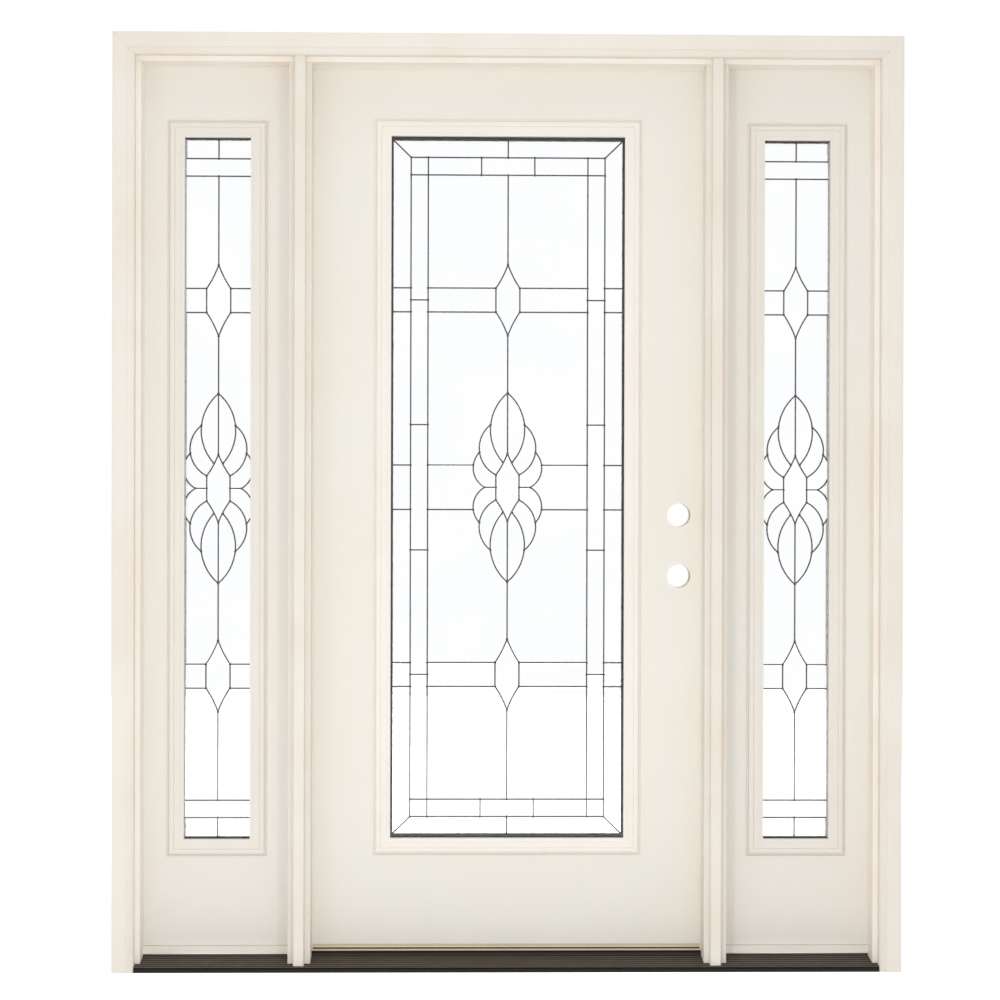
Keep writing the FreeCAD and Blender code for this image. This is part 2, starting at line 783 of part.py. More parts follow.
def make_side_base(side, name):
    """The filler between the sill and a sidelight panel."""
    body = new_body(f"sidelight_base_{name}")
    front = riser_y - d.base_nose
    low, high = sorted((along(side, side_rabbet_x), along(side, jamb_rabbet_x)),
                       key=lambda size: size.value)
    add_pad(body, "YZ_Plane", low, high, [[
        (front, deck_height(front)),
        (riser_y, d.deck_back),
        (riser_y, d.riser_top),
        (d.jamb_depth, d.riser_top),
        (d.jamb_depth, d.base_top),
        (front, d.base_top),
    ]])
    notches = [
        rectangle(*sorted_pair(along(side, side_rabbet_x - past), along(side, side_stop_x),
                               front - past, stop_y)),
        rectangle(*sorted_pair(along(side, jamb_stop_x), along(side, jamb_rabbet_x + past),
                               front - past, stop_y)),
    ]
    add_pocket(body, "XY_Plane", d.deck_front, d.base_top + past, notches)
    finish(body)


# The lite frames
def lite_profile(glass, turn):
    """A lite frame's section below the lite's centre, out from the skin (turn -1 or 1).

    Depth is counted from the skin's face, out of the leaf.
    """
    sight = glass.height / 2 - d.glass_bite
    seat = (d.door_thickness - d.unit_thickness) / 2

    def place(outward, rise):
        return rise * turn, -(sight + outward)

    rim = d.glass_bite + d.glass_clearance + d.lite_overlap
    hole = d.glass_bite + d.glass_clearance
    ridge_out = rim - d.lite_edge
    ridge_in = ridge_out - d.lite_ridge
    leg_out = hole - d.lite_leg_gap
    leg_in = d.glass_bite + d.lite_leg_gap
    outer_rise = d.lite_ridge_rise - d.lite_ridge_fall
    return [
        place(ZERO, -seat),
        place(ZERO, d.lite_lip_rise),
        place(d.lite_lip, d.lite_bead_rise),
        place(d.lite_lip + d.lite_lip_step, d.lite_flat),
        place(ridge_in - d.lite_groove, d.lite_flat),
        place(ridge_in - d.lite_groove / 2, d.lite_flat - d.lite_groove_depth),
        place(ridge_in, d.lite_ridge_rise) + ((d.lite_ridge * d.lite_ridge_curve, turn),),
        place(ridge_out, outer_rise),
        place(ridge_out + d.lite_edge_groove / 2, outer_rise - d.lite_edge_groove_depth),
        place(ridge_out + d.lite_edge_groove, outer_rise - d.lite_edge_step)
        + ((d.lite_edge * d.lite_edge_curve, turn),),
        place(rim, ZERO),
        place(leg_out, ZERO),
        place(leg_out, -d.door_thickness / 2),
        place(leg_in, -d.door_thickness / 2),
        place(leg_in, -seat),
    ]


def make_lite_frame(label, glass, x, skin_y, z, turn):
    """A frame run round the glass with mitred corners, as one moulded piece."""
    body = new_body(label)
    path = new_sketch(body, "XZ_Plane", ZERO, "path")
    half_width = glass.width / 2 - d.glass_bite
    half_height = glass.height / 2 - d.glass_bite
    corners = [
        (ZERO, -half_height), (half_width, -half_height), (half_width, half_height),
        (-half_width, half_height), (-half_width, -half_height)]
    draw_outline(path, corners)
    section = new_sketch(body, "YZ_Plane", ZERO, "section")
    draw_outline(section, lite_profile(glass, turn))
    pipe = body.newObject("PartDesign::AdditivePipe", f"{label}_ring")
    pipe.Profile = section
    pipe.Spine = (path, [f"Edge{number + 1}" for number in range(len(corners))])
    pipe.Transition = "Right corner"
    place_at(body, x, skin_y, z)
    finish(body)


def place_at(item, x, y, z):
    item.Placement = FreeCAD.Placement(V(x.value, y.value, z.value), FreeCAD.Rotation())
    item.setExpression("Placement.Base.x", x.formula)
    item.setExpression("Placement.Base.y", y.formula)
    item.setExpression("Placement.Base.z", z.formula)


# The glass units
def make_panes(label, glass, x, middle_y, z):
    panes = []
    for name, low in (("outer", -d.unit_thickness / 2),
                      ("inner", d.unit_thickness / 2 - d.pane_thickness)):
        pane = doc.addObject("Part::Box", f"{label}_{name}")
        for key, size in (("Length", glass.width), ("Width", d.pane_thickness),
                          ("Height", glass.height)):
            setattr(pane, key, size.value)
            pane.setExpression(key, size.formula)
        place_at(pane, x - glass.width / 2, middle_y + low, z - glass.height / 2)
        panes.append(pane)
    compound(label, panes)


def bar(start, end):
    """A straight came between two points of the panel, (across, up)."""
    width = d.came_width.value / 2
    depth = d.came_depth.value / 2
    along_bar = V(end[0] - start[0], 0, end[1] - start[1])
    along_bar.normalize()
    aside = V(-along_bar.z, 0, along_bar.x) * width
    first = V(start[0], -depth, start[1])
    last = V(end[0], -depth, end[1])
    wire = Part.makePolygon([first - aside, last - aside, last + aside, first + aside, first - aside])
    return Part.Face(wire).extrude(V(0, 2 * depth, 0))


def circle_through(start, through, end):
    """Centre and radius of the circle through three points of the panel."""
    curve = Part.Arc(*[V(u, 0, w) for u, w in (start, through, end)]).toShape().Curve
    return curve.Center, curve.Radius


def arc_at_level(arc, level):
    """Where an arc that bulges outwards passes a level."""
    centre, radius = circle_through(*arc)
    return centre.x + math.sqrt(radius * radius - (level - centre.z) ** 2), level


def bow(start, through, end, chords):
    """A came along the arc through three points of the panel, bent as a few short chords."""
    centre, radius = circle_through(start, through, end)
    first, middle, last = [math.atan2(w - centre.z, u - centre.x) for u, w in (start, through, end)]
    turn = math.remainder(middle - first, math.tau)
    turn += math.remainder(last - middle, math.tau)
    sides = []
    for aside in (-d.came_width.value / 2, d.came_width.value / 2):
        angles = [first + turn * number / chords for number in range(chords + 1)]
        sides.append([
            V(centre.x + (radius + aside) * math.cos(angle), -d.came_depth.value / 2,
              centre.z + (radius + aside) * math.sin(angle))
            for angle in angles
        ])
    inner, outer = sides
    wire = Part.makePolygon(inner + outer[::-1] + inner[:1])
    return Part.Face(wire).extrude(V(0, d.came_depth.value, 0))


def hollow_middle(start, end, centre):
    """The middle of a jewel's slanted edge, drawn in a little towards the jewel."""
    hollow = d.diamond_hollow.value
    run = math.dist(start, end)
    aside_u = -abs(end[1] - start[1]) / run * math.copysign(1, start[0])
    aside_w = -abs(end[0] - start[0]) / run * math.copysign(1, end[1] - centre)
    return (start[0] + end[0]) / 2 + hollow * aside_u, (start[1] + end[1]) / 2 + hollow * aside_w


def jewel(centre, half_width, shoulder, tip):
    """A long six-sided jewel: upright sides, and tips with slightly hollow edges."""
    cames = []
    for across in (-half_width, half_width):
        cames.append(bar((across, centre - shoulder), (across, centre + shoulder)))
        for up in (-1, 1):
            start = (across, centre + up * shoulder)
            end = (0, centre + up * tip)
            cames.append(bow(start, hollow_middle(start, end, centre), end, 2))
    return cames


def flower():
    """The petals round the middle jewel, alike in the four quarters."""
    shoulder = (d.heart_half_width.value, d.heart_shoulder.value)
    tip = (0, d.heart_tip.value)
    slant = (shoulder[1] - tip[1]) / shoulder[0]
    foot_one = (d.petal_one_foot.value, tip[1] + slant * d.petal_one_foot.value)
    foot_three = (d.petal_three_foot.value, 0)
    one = ((0, d.petal_top.value), (d.petal_one_width.value, d.petal_one_level.value), foot_one)
    two = (arc_at_level(one, d.petal_two_start.value),
           (d.petal_two_width.value, d.petal_two_level.value), shoulder)
    three = (arc_at_level(two, d.petal_three_start.value),
             (d.petal_three_width.value, d.petal_three_level.value), foot_three)
    cames = []
    for across in (-1, 1):
        cames.append(bar((across * foot_three[0], 0), (across * shoulder[0], 0)))
        for up in (-1, 1):
            for petal in (one, two, three):
                cames.append(bow(*[(across * u, up * w) for u, w in petal], petal_chords))
    return cames


def band_levels(end):
    """Levels of an end band's two cames, in a glass that ends at this level."""
    outer = end - d.border_end.value
    return outer, outer - d.band_width.value


def axis_cames(reach, end):
    """The cames on the panel's middle line and the two diamonds."""
    tip = d.diamond_tip.value
    centre = d.diamond_centre.value
    band_outer, band_inner = band_levels(end)
    cames = jewel(0, d.heart_half_width.value, d.heart_shoulder.value, d.heart_tip.value)
    for up in (-1, 1):
        cames += jewel(up * centre, d.diamond_half_width.value, d.diamond_shoulder.value, tip)
        for low, high in ((d.heart_tip.value, centre - tip), (centre + tip, band_inner),
                          (band_outer, end)):
            cames.append(bar((0, up * low), (0, up * high)))
        for level in (centre - d.diamond_shoulder.value, centre + d.diamond_shoulder.value):
            for across in (-1, 1):
                cames.append(bar((across * d.diamond_half_width.value, up * level),
                                 (across * reach, up * level)))
    return cames


def door_cames():
    """The door's pattern: borders with mitred corners, bands, diamonds and the flower."""
    edge = door_glass.width.value / 2
    end = door_glass.height.value / 2
    band_outer, band_inner = band_levels(end)
    outer = edge - d.border_side.value
    inner = outer - d.strip_width.value
    cames = axis_cames(inner, end) + flower()
    for side in (-1, 1):
        cames.append(bar((side * outer, -band_outer), (side * outer, band_outer)))
        cames.append(bar((side * inner, -band_outer), (side * inner, band_outer)))
        for up in (-1, 1):
            corner = (side * (edge - d.glass_bite.value - d.rim_side.value),
                      up * (end - d.glass_bite.value - d.rim_end.value))
            cames.append(bar((side * outer, up * band_outer), corner))
            cames.append(bar((side * d.band_divider.value, up * band_inner),
                             (side * d.band_divider.value, up * band_outer)))
            for level in (d.diamond_centre.value, d.field_divider.value):
                cames.append(bar((side * inner, up * level), (side * outer, up * level)))
            for level in (d.diamond_centre.value - d.diamond_shoulder.value,
                          d.diamond_centre.value + d.diamond_shoulder.value, d.field_level.value):
                cames.append(bar((side * outer, up * level), (side * edge, up * level)))
            cames.append(bar((side * inner, up * d.field_level.value),
                             (side * d.petal_three_width.value, up * d.field_level.value)))
    for up in (-1, 1):
        cames.append(bar((-outer, up * band_outer), (outer, up * band_outer)))
        cames.append(bar((-outer, up * band_inner), (outer, up * band_inner)))
    return cames


def side_cames():
    """A sidelight's pattern: the door's middle, as far as the narrow glass reaches."""
    edge = side_glass.width.value / 2
    end = side_glass.height.value / 2
    cames = axis_cames(edge, end) + flower()
    for up in (-1, 1):
        for level in band_levels(end):
            cames.append(bar((-edge, up * level), (edge, up * level)))
    return cames


def centred_box(half_width, half_depth, half_height):
    return Part.makeBox(2 * half_width, 2 * half_depth, 2 * half_height,
                        V(-half_width, -half_depth, -half_height))


def make_leaded_panel(prefix, suffix, glass, cames, x, middle_y, z):
    """The came lattice with its edge spacer, and the cut glass between the cames."""
    half_width = glass.width.value / 2
    half_height = glass.height.value / 2
    open_width = half_width - d.glass_bite.value - glass.rim_side.value
    open_height = half_height - d.glass_bite.value - glass.rim_end.value
    opening = centred_box(open_width, d.came_depth.value, open_height)
    lattice = cames[0].multiFuse(cames[1:]).common(opening)
    gap = (d.unit_thickness.value - 2 * d.pane_thickness.value) / 2
    spacer = centred_box(half_width, gap, half_height).cut(
        centred_box(open_width, 2 * gap, open_height))
    lead = spacer.fuse(lattice).removeSplitter()
    sheet_of_glass = centred_box(open_width, d.tile_thickness.value / 2, open_height)
    tiles = sheet_of_glass.cut(lattice)
    for kind, shape in (("cames", lead), ("leaded_glass", tiles)):
        label = f"{prefix}_{kind}{suffix}"
        item = doc.addObject("Part::Feature", label)
        item.Shape = Part.makeCompound(shape.Solids) if len(shape.Solids) > 1 else shape.Solids[0]
        place_at(item, x, middle_y, z)
        finish(item, label)


# The hinges
def knuckles(low):
    """A hinge's knuckles from the bottom: (low, high, does the frame carry it)."""
    pitch = (d.hinge_length + d.knuckle_gap) / knuckle_count
    spans = []
    for number in range(knuckle_count):
        start = low + pitch * number
        spans.append((start, start + pitch - d.knuckle_gap, number % 2 == 0))
    return spans


def round_the_pin(radius):
    """A many-sided outline round the hinge pin's axis, its flats at a radius."""
    corner = radius / math.cos(math.pi / barrel_sides)
    angles = [math.tau * (number + 1 / 2) / barrel_sides for number in range(barrel_sides)]
    return [(pin_x + corner * math.cos(angle), pin_y + corner * math.sin(angle)) for angle in angles]


def make_hinge_half(name, low, high, of_frame):
    """One hinge leaf: a plate let into the edge, with its own knuckles on the pin's axis."""
    body = new_body(name)
    if of_frame:
        inner, outer = -door_rabbet_x - d.hinge_plate, -door_rabbet_x
    else:
        inner, outer = -leaf_half, -leaf_half + d.hinge_plate
    add_pad(body, "XY_Plane", low, high,
            [rectangle(inner, d.jamb_depth - d.hinge_width, outer, pin_y)])
    free = pin_y - d.barrel_radius - d.plate_clearance
    for start, end, frames in knuckles(low):
        if frames != of_frame:
            add_pocket(body, "XY_Plane", start - d.knuckle_gap, end + d.knuckle_gap,
                       [rectangle(inner - past, free, outer + past, pin_y + past)])
    for start, end, frames in knuckles(low):
        if frames == of_frame:
            add_pad(body, "XY_Plane", start, end, [round_the_pin(d.barrel_radius)])
    add_pocket(body, "XY_Plane", low - past, high + past,
               [round_the_pin(d.pin_radius + d.pin_clearance)])
    return body


def make_hinge_pin(name, low, high):
    """The pin through the knuckles, with its button on top."""
    body = new_body(name)
    add_pad(body, "XY_Plane", low, high, [round_the_pin(d.pin_radius)])
    add_pad(body, "XY_Plane", high, high + d.pin_head_height, [round_the_pin(d.pin_head_radius)])
    return body


def make_hinges(hinges):
    frame_leaves, door_leaves, pins = [], [], []
    for number, (low, high) in enumerate(hinges):
        frame_leaves.append(make_hinge_half(f"frame_hinge_leaf_{number}", low, high, True))
        door_leaves.append(make_hinge_half(f"door_hinge_leaf_{number}", low, high, False))
        pins.append(make_hinge_pin(f"hinge_pin_{number}", low, high))
    compound("frame_hinge_leaves", frame_leaves)
    compound("door_hinge_leaves", door_leaves)
    compound("hinge_pins", pins)


def hinge_spans():
    """Bottom and top of the three hinges, from the foot up."""
    top = leaf_top - d.top_hinge_drop
    bottom = leaf_bottom + d.bottom_hinge_rise
    half = d.hinge_length / 2
    return [(centre - half, centre + half) for centre in (bottom, (bottom + top) / 2, top)]


def make_lite(prefix, suffix, glass, cames, x, front, z):
    """Both lite frames, the panes and the leaded panel of one lite."""
    middle = front + d.door_thickness / 2
    make_lite_frame(f"{prefix}_lite_frame_outside{suffix}", glass, x, front, z, -1)
    make_lite_frame(f"{prefix}_lite_frame_inside{suffix}", glass, x,
                    front + d.door_thickness, z, 1)
    make_panes(f"{prefix}_glass{suffix}", glass, x, middle, z)
    make_leaded_panel(prefix, suffix, glass, cames, x, middle, z)


def main():
    hinges = hinge_spans()
    envelope = make_sill_envelope()
    make_sill()
    make_head()
    make_head_mould()
    make_seals()
    for side, name in ((-1, "left"), (1, "right")):
        make_jamb(side, name, envelope)
        make_mullion(side, name, envelope, hinges if side < 0 else [])
        make_mullion_cover(side, name, envelope)
        make_side_mould(side, name)
        make_side_base(side, name)
        make_side_panel(side, name)
        make_lite("sidelight", f"_{name}", side_glass, side_cames(),
                  along(side, side_x), side_front, side_lite_z)
    make_leaf(hinges)
    make_sweep()
    make_lite("door", "", door_glass, door_cames(), ZERO, leaf_front, lite_z)
    make_hinges(hinges)
    doc.recompute()
    check_and_write()


def check_and_write():
    """Stops at any failed object, and otherwise writes each piece to its own file."""
    for item in doc.Objects:
        if "Invalid" in item.State or "Error" in item.State:
            raise RuntimeError(f"{item.Label} did not build: {item.State}")
    for item in parts:
        if item.Shape.isNull() or not item.Shape.isValid() or not item.Shape.Solids:
            raise RuntimeError(f"{item.Label} has no sound shape")
    os.makedirs("parts", exist_ok=True)
    for item in parts:
        item.Shape.exportStep(f"parts/{item.Label}.step")
    print(len(parts), "pieces written")


main()
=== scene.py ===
"""Looks of an entry door with two leaded sidelights, in metres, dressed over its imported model."""
import math

import bmesh
import bpy
from mathutils import Matrix, Vector, noise


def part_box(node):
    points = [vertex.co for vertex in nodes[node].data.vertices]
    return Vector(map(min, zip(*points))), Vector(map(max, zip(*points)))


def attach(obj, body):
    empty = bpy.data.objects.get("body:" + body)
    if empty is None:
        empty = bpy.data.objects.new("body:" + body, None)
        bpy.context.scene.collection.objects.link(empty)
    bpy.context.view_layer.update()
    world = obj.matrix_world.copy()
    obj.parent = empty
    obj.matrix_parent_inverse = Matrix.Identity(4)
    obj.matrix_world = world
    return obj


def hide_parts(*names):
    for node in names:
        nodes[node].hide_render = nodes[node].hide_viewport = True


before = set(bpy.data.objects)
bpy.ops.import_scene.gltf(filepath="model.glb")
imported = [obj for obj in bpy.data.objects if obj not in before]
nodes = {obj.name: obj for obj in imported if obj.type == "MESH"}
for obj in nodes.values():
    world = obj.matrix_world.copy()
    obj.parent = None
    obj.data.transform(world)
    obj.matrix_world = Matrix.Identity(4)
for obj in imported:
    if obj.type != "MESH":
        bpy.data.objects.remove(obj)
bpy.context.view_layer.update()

scene = bpy.context.scene

# Sill, cap and filler: the depths and heights where their colours change, most of them where
# painted shade begins; a ledge is (y, z, painted_shade)
RIB_LINE = 0.0150
RIB_SHIFT = 0.0038
NOSE_LINE = 0.0095
NOSE_TOP = 0.0120
RISER_FOOT = 0.0205
RISER_TOP = 0.0288
CAP_SHADOW_TOP = 0.0331
CAP_SHADED_LEDGE = (0.0625, 0.0360, 0.75)
FILLER_SHADED_LEDGE = (0.0, 0.0448, 0.4)


# Colours and node materials
def linear(red, green, blue):
    """A colour given as it shows on screen, from 0 to 255."""
    def channel(value):
        share = value / 255
        return share / 12.92 if share <= 0.04045 else ((share + 0.055) / 1.055) ** 2.4
    return channel(red), channel(green), channel(blue), 1.0


def scaled(colour, *factors):
    """A colour with its channels scaled by three factors, or all by one."""
    factors = factors if len(factors) == 3 else factors * 3
    return tuple(channel * factor for channel, factor in zip(colour, factors)) + (1,)


class Surface:
    """A Principled material with the few node chains that the finishes here share."""

    def __init__(self, name, roughness, **constants):
        self.material = bpy.data.materials.new(name)
        self.material.use_nodes = True
        self.tree = self.material.node_tree
        self.shader = self.tree.nodes["Principled BSDF"]
        self.output = self.tree.nodes["Material Output"]
        self.shader.inputs["Roughness"].default_value = roughness
        for socket, value in constants.items():
            self.shader.inputs[socket.replace("_", " ")].default_value = value
        self.place = self.node("ShaderNodeTexCoord").outputs["Object"]

    def node(self, kind, **values):
        made = self.tree.nodes.new(kind)
        for name, value in values.items():
            setattr(made, name, value)
        return made

    def link(self, source, target):
        self.tree.links.new(source, target)

    def feed(self, value, target):
        """Links an input to a socket, or sets it to a constant."""
        if isinstance(value, bpy.types.NodeSocket):
            self.link(value, target)
        else:
            target.default_value = value

    def along(self, axis):
        """How far a point lies along an axis of the object's own coordinates."""
        split = self.node("ShaderNodeSeparateXYZ")
        self.link(self.place, split.inputs["Vector"])
        return split.outputs[axis]

    def noise(self, scale, detail=3.0, stretch=(1, 1, 1), roughness=0.5):
        """Noise from the object's own coordinates, drawn out along some axes."""
        mapping = self.node("ShaderNodeMapping")
        mapping.inputs["Scale"].default_value = stretch
        self.link(self.place, mapping.inputs["Vector"])
        texture = self.node("ShaderNodeTexNoise")
        texture.inputs["Scale"].default_value = scale
        texture.inputs["Detail"].default_value = detail
        texture.inputs["Roughness"].default_value = roughness
        self.link(mapping.outputs["Vector"], texture.inputs["Vector"])
        return texture.outputs["Fac"]

    def ranged(self, value, low, high, to_low=0.0, to_high=1.0):
        """A value that goes from one range to another and stays within it."""
        made = self.node("ShaderNodeMapRange")
        for name, number in (("From Min", low), ("From Max", high), ("To Min", to_low),
                             ("To Max", to_high)):
            made.inputs[name].default_value = number
        self.link(value, made.inputs["Value"])
        return made.outputs["Result"]

    def mixed(self, factor, first, second):
        """A colour between two, each a colour or a socket."""
        made = self.node("ShaderNodeMix", data_type="RGBA")
        self.link(factor, made.inputs["Factor"])
        for name, colour in (("A", first), ("B", second)):
            self.feed(colour, next(item for item in made.inputs
                                   if item.name == name and item.type == "RGBA"))
        return next(item for item in made.outputs if item.type == "RGBA")

    def combined(self, operation, first, second):
        """Two values, each a number or a socket, put through one operation."""
        made = self.node("ShaderNodeMath", operation=operation)
        self.feed(first, made.inputs[0])
        self.feed(second, made.inputs[1])
        return made.outputs["Value"]

    def colour(self, socket):
        self.link(socket, self.shader.inputs["Base Color"])

    def roughness(self, socket):
        self.link(socket, self.shader.inputs["Roughness"])

    def bump(self, *heights):
        """Bumps of (height socket, depth in metres), one over the other."""
        normal = None
        for height, depth in heights:
            made = self.node("ShaderNodeBump")
            made.inputs["Strength"].default_value = 1.0
            made.inputs["Distance"].default_value = depth
            self.link(height, made.inputs["Height"])
            if normal:
                self.link(normal, made.inputs["Normal"])
            normal = made.outputs["Normal"]
        self.link(normal, self.shader.inputs["Normal"])


def primed_wood(name, colour, along):
    """Primed wood trim: faint streaks along the board, a little dust and a soft brushed coat."""
    surface = Surface(name, 0.55, Specular_IOR_Level=0.35)
    stretch = [0.05 if axis == along else 1.0 for axis in "xyz"]
    streaks = surface.noise(260, 4, stretch)
    clouds = surface.noise(5, 3)
    warm = scaled(colour, 0.985, 0.955, 0.93)
    dull = scaled(colour, 0.955)
    toned = surface.mixed(surface.ranged(clouds, 0.42, 0.68), colour, warm)
    surface.colour(surface.mixed(surface.ranged(streaks, 0.55, 0.85, 0, 0.6), toned, dull))
    surface.roughness(surface.ranged(clouds, 0.3, 0.7, 0.48, 0.62))
    surface.bump((streaks, 0.00012), (surface.noise(900, 2), 0.00003))
    return surface.material


def primed_skin(name, colour):
    """Smooth fibreglass under primer: even, with a fine orange peel and very slight clouds."""
    surface = Surface(name, 0.5, Specular_IOR_Level=0.4)
    clouds = surface.noise(2.2, 3)
    patches = surface.noise(11, 4)
    warm = scaled(colour, 1.0, 0.975, 0.955)
    cool = scaled(colour, 0.97, 0.985, 0.985)
    toned = surface.mixed(surface.ranged(clouds, 0.35, 0.7), colour, warm)
    surface.colour(surface.mixed(surface.ranged(patches, 0.5, 0.8, 0, 0.5), toned, cool))
    surface.roughness(surface.ranged(patches, 0.3, 0.7, 0.44, 0.56))
    surface.bump((surface.noise(420, 2), 0.00006), (surface.noise(38, 2), 0.0001))
    return surface.material


def moulded_vinyl(name, colour):
    """The lite frames: smooth moulded plastic, a little glossier than the leaf."""
    surface = Surface(name, 0.42, Specular_IOR_Level=0.45)
    clouds = surface.noise(6, 3)
    shade = scaled(colour, 0.985, 0.975, 0.965)
    surface.colour(surface.mixed(surface.ranged(clouds, 0.4, 0.7), colour, shade))
    surface.roughness(surface.ranged(clouds, 0.3, 0.7, 0.36, 0.48))
    surface.bump((surface.noise(600, 2), 0.00003))
    return surface.material


def bare_wood(name, pale, dark, along):
    """Planed softwood inside the leaf: growth lines along the board."""
    surface = Surface(name, 0.65)
    stretch = [0.04 if axis == along else 1.0 for axis in "xyz"]
    grain = surface.noise(120, 5, stretch, 0.6)
    fibre = surface.noise(700, 2, stretch)
    toned = surface.mixed(surface.ranged(grain, 0.4, 0.65), pale, dark)
    surface.colour(surface.mixed(surface.ranged(fibre, 0.5, 0.9, 0, 0.4), toned, dark))
    surface.bump((grain, 0.00015), (fibre, 0.00005))
    return surface.material


def dark_bronze(name):
    """The sill: anodised aluminium drawn along its length and dusty, with painted shade in its rib
    grooves, on its nose face, in a line under the deck's lip and on its riser under the cap.
    """
    surface = Surface(name, 0.5, Specular_IOR_Level=0.12)
    drawn = surface.noise(900, 3, (0.01, 1, 1))
    dust = surface.noise(35, 5)
    worn, paler, dusted = linear(94, 86, 78), linear(108, 100, 92), linear(116, 108, 99)
    groove_shade, nose, riser = linear(44, 37, 33), linear(44, 38, 34), linear(48, 42, 38)
    shadow = linear(14, 12, 11)
    toned = surface.mixed(surface.ranged(drawn, 0.4, 0.75), worn, paler)
    dusty = surface.mixed(surface.ranged(dust, 0.52, 0.8, 0, 0.5), toned, dusted)
    # Painted shade: dark lines at the rib pitch stand in for the shade in the deck's rib grooves.
    ribs = surface.combined("PINGPONG", surface.combined("ADD", surface.along("Y"), RIB_SHIFT),
                            RIB_LINE / 2)
    ribbed = surface.mixed(surface.ranged(ribs, RIB_LINE * 0.2, RIB_LINE * 0.3), groove_shade, dusty)
    height = surface.along("Z")
    # Painted shade: the nose face is darker than the deck because of how the light falls on it,
    # with a near-black line under the deck's lip.
    lip_line_shaded = surface.mixed(surface.ranged(height, NOSE_LINE - 0.001, NOSE_LINE), nose, shadow)
    nose_shaded = surface.mixed(surface.ranged(height, NOSE_TOP - 0.0005, NOSE_TOP), lip_line_shaded, ribbed)
    # Painted shade: the deck darkens towards its back and up its riser, and turns near black at the
    # top of the riser, for the shade under the cap's overhang.
    riser_shaded = surface.mixed(surface.ranged(height, RISER_FOOT, RISER_TOP), nose_shaded, riser)
    surface.colour(surface.mixed(surface.ranged(height, RISER_TOP, RISER_TOP + 0.001),
                                 riser_shaded, shadow))
    surface.roughness(surface.ranged(dust, 0.3, 0.7, 0.42, 0.6))
    surface.bump((drawn, 0.00004))
    return surface.material


def soft_plastic(name, colour, roughness=0.6, stretch=(0.02, 1, 1), gloss=0.5, foot=None,
                 ledge=None):
    """Extruded strip with fine lines along it, painted into shadow below its foot and painted
    darker as shade on its ledge.

    The foot is a height; the ledge is (y, z, painted_shade), a corner that it lies behind and over.
    """
    surface = Surface(name, roughness, Specular_IOR_Level=gloss)
    lines = surface.noise(500, 2, stretch)
    clouds = surface.noise(14, 4)
    toned = surface.mixed(surface.ranged(clouds, 0.4, 0.75, 0, 0.8), colour, scaled(colour, 0.9))
    # Painted shadow: below the foot the strip turns near black, for the shade of the seat under the
    # cap's front.
    if foot:
        toned = surface.mixed(surface.ranged(surface.along("Z"), foot - 0.0005, foot),
                              linear(40, 34, 30), toned)
    # Painted shade: the ledge's top, behind its corner, is darkened by a share, for the shade on
    # the cap under the door and on the filler's top.
    if ledge:
        y, z, painted_shade = ledge
        over = surface.ranged(surface.along("Z"), z - 0.0006, z - 0.0002)
        behind = surface.ranged(surface.along("Y"), y, y + 0.0004)
        toned = surface.mixed(surface.combined("MULTIPLY", over, behind), toned,
                              scaled(colour, 1 - painted_shade))
    surface.colour(toned)
    surface.bump((lines, 0.00005))
    return surface.material


def lead(name, colour, roughness, metal):
    """Came or solder: grey metal, dull in patches, with a hand-worked surface."""
    surface = Surface(name, roughness, Metallic=metal)
    patches = surface.noise(90, 4)
    dents = surface.noise(420, 3)
    dull = scaled(colour, 0.6)
    surface.colour(surface.mixed(surface.ranged(patches, 0.4, 0.7), colour, dull))
    surface.roughness(surface.ranged(patches, 0.35, 0.7, roughness - 0.1, roughness + 0.15))
    surface.bump((dents, 0.0001))
    return surface.material


def satin_metal(name, colour, roughness):
    """Hinges and screws: plated steel with a fine brushed grain and finger marks."""
    surface = Surface(name, roughness, Metallic=1.0)
    brushed = surface.noise(1400, 2, (1, 1, 0.03))
    marks = surface.noise(60, 4)
    dull = scaled(colour, 0.8)
    surface.colour(surface.mixed(surface.ranged(marks, 0.45, 0.75, 0, 0.7), colour, dull))
    surface.roughness(surface.ranged(marks, 0.35, 0.7, roughness - 0.06, roughness + 0.12))
    surface.bump((brushed, 0.00002))
    return surface.material


def clear_glass(name, tint, wave=None, bending=1.5):
    """Glass that lets lamps through; 'wave' is a scale and depth of its own texture."""
    surface = Surface(name, 0.0, IOR=bending, Transmission_Weight=1.0)
    dust = surface.noise(4, 3)
    surface.colour(surface.mixed(surface.ranged(dust, 0.3, 0.8), (1, 1, 1, 1), tint))
    if wave:
        scale, depth = wave
        surface.bump((surface.noise(scale, 2), depth))
    clear = surface.node("ShaderNodeBsdfTransparent")
    mix = surface.node("ShaderNodeMixShader")
    path = surface.node("ShaderNodeLightPath")
    surface.link(path.outputs["Is Shadow Ray"], mix.inputs["Fac"])
    surface.link(surface.shader.outputs["BSDF"], mix.inputs[1])
    surface.link(clear.outputs["BSDF"], mix.inputs[2])
    surface.link(mix.outputs["Shader"], surface.output.inputs["Surface"])
    return surface.material


wood_colour = linear(240, 234, 224)
wood_up = primed_wood("primed_wood_upright", wood_colour, "z")
wood_level = primed_wood("primed_wood_level", wood_colour, "x")
# Painted shade: the mullions are the trim's primed wood in a darker copy, which tones down the full
# light on their proud covers.
mullion_wood_darkened = primed_wood("primed_mullion_darkened", linear(236, 230, 220), "z")
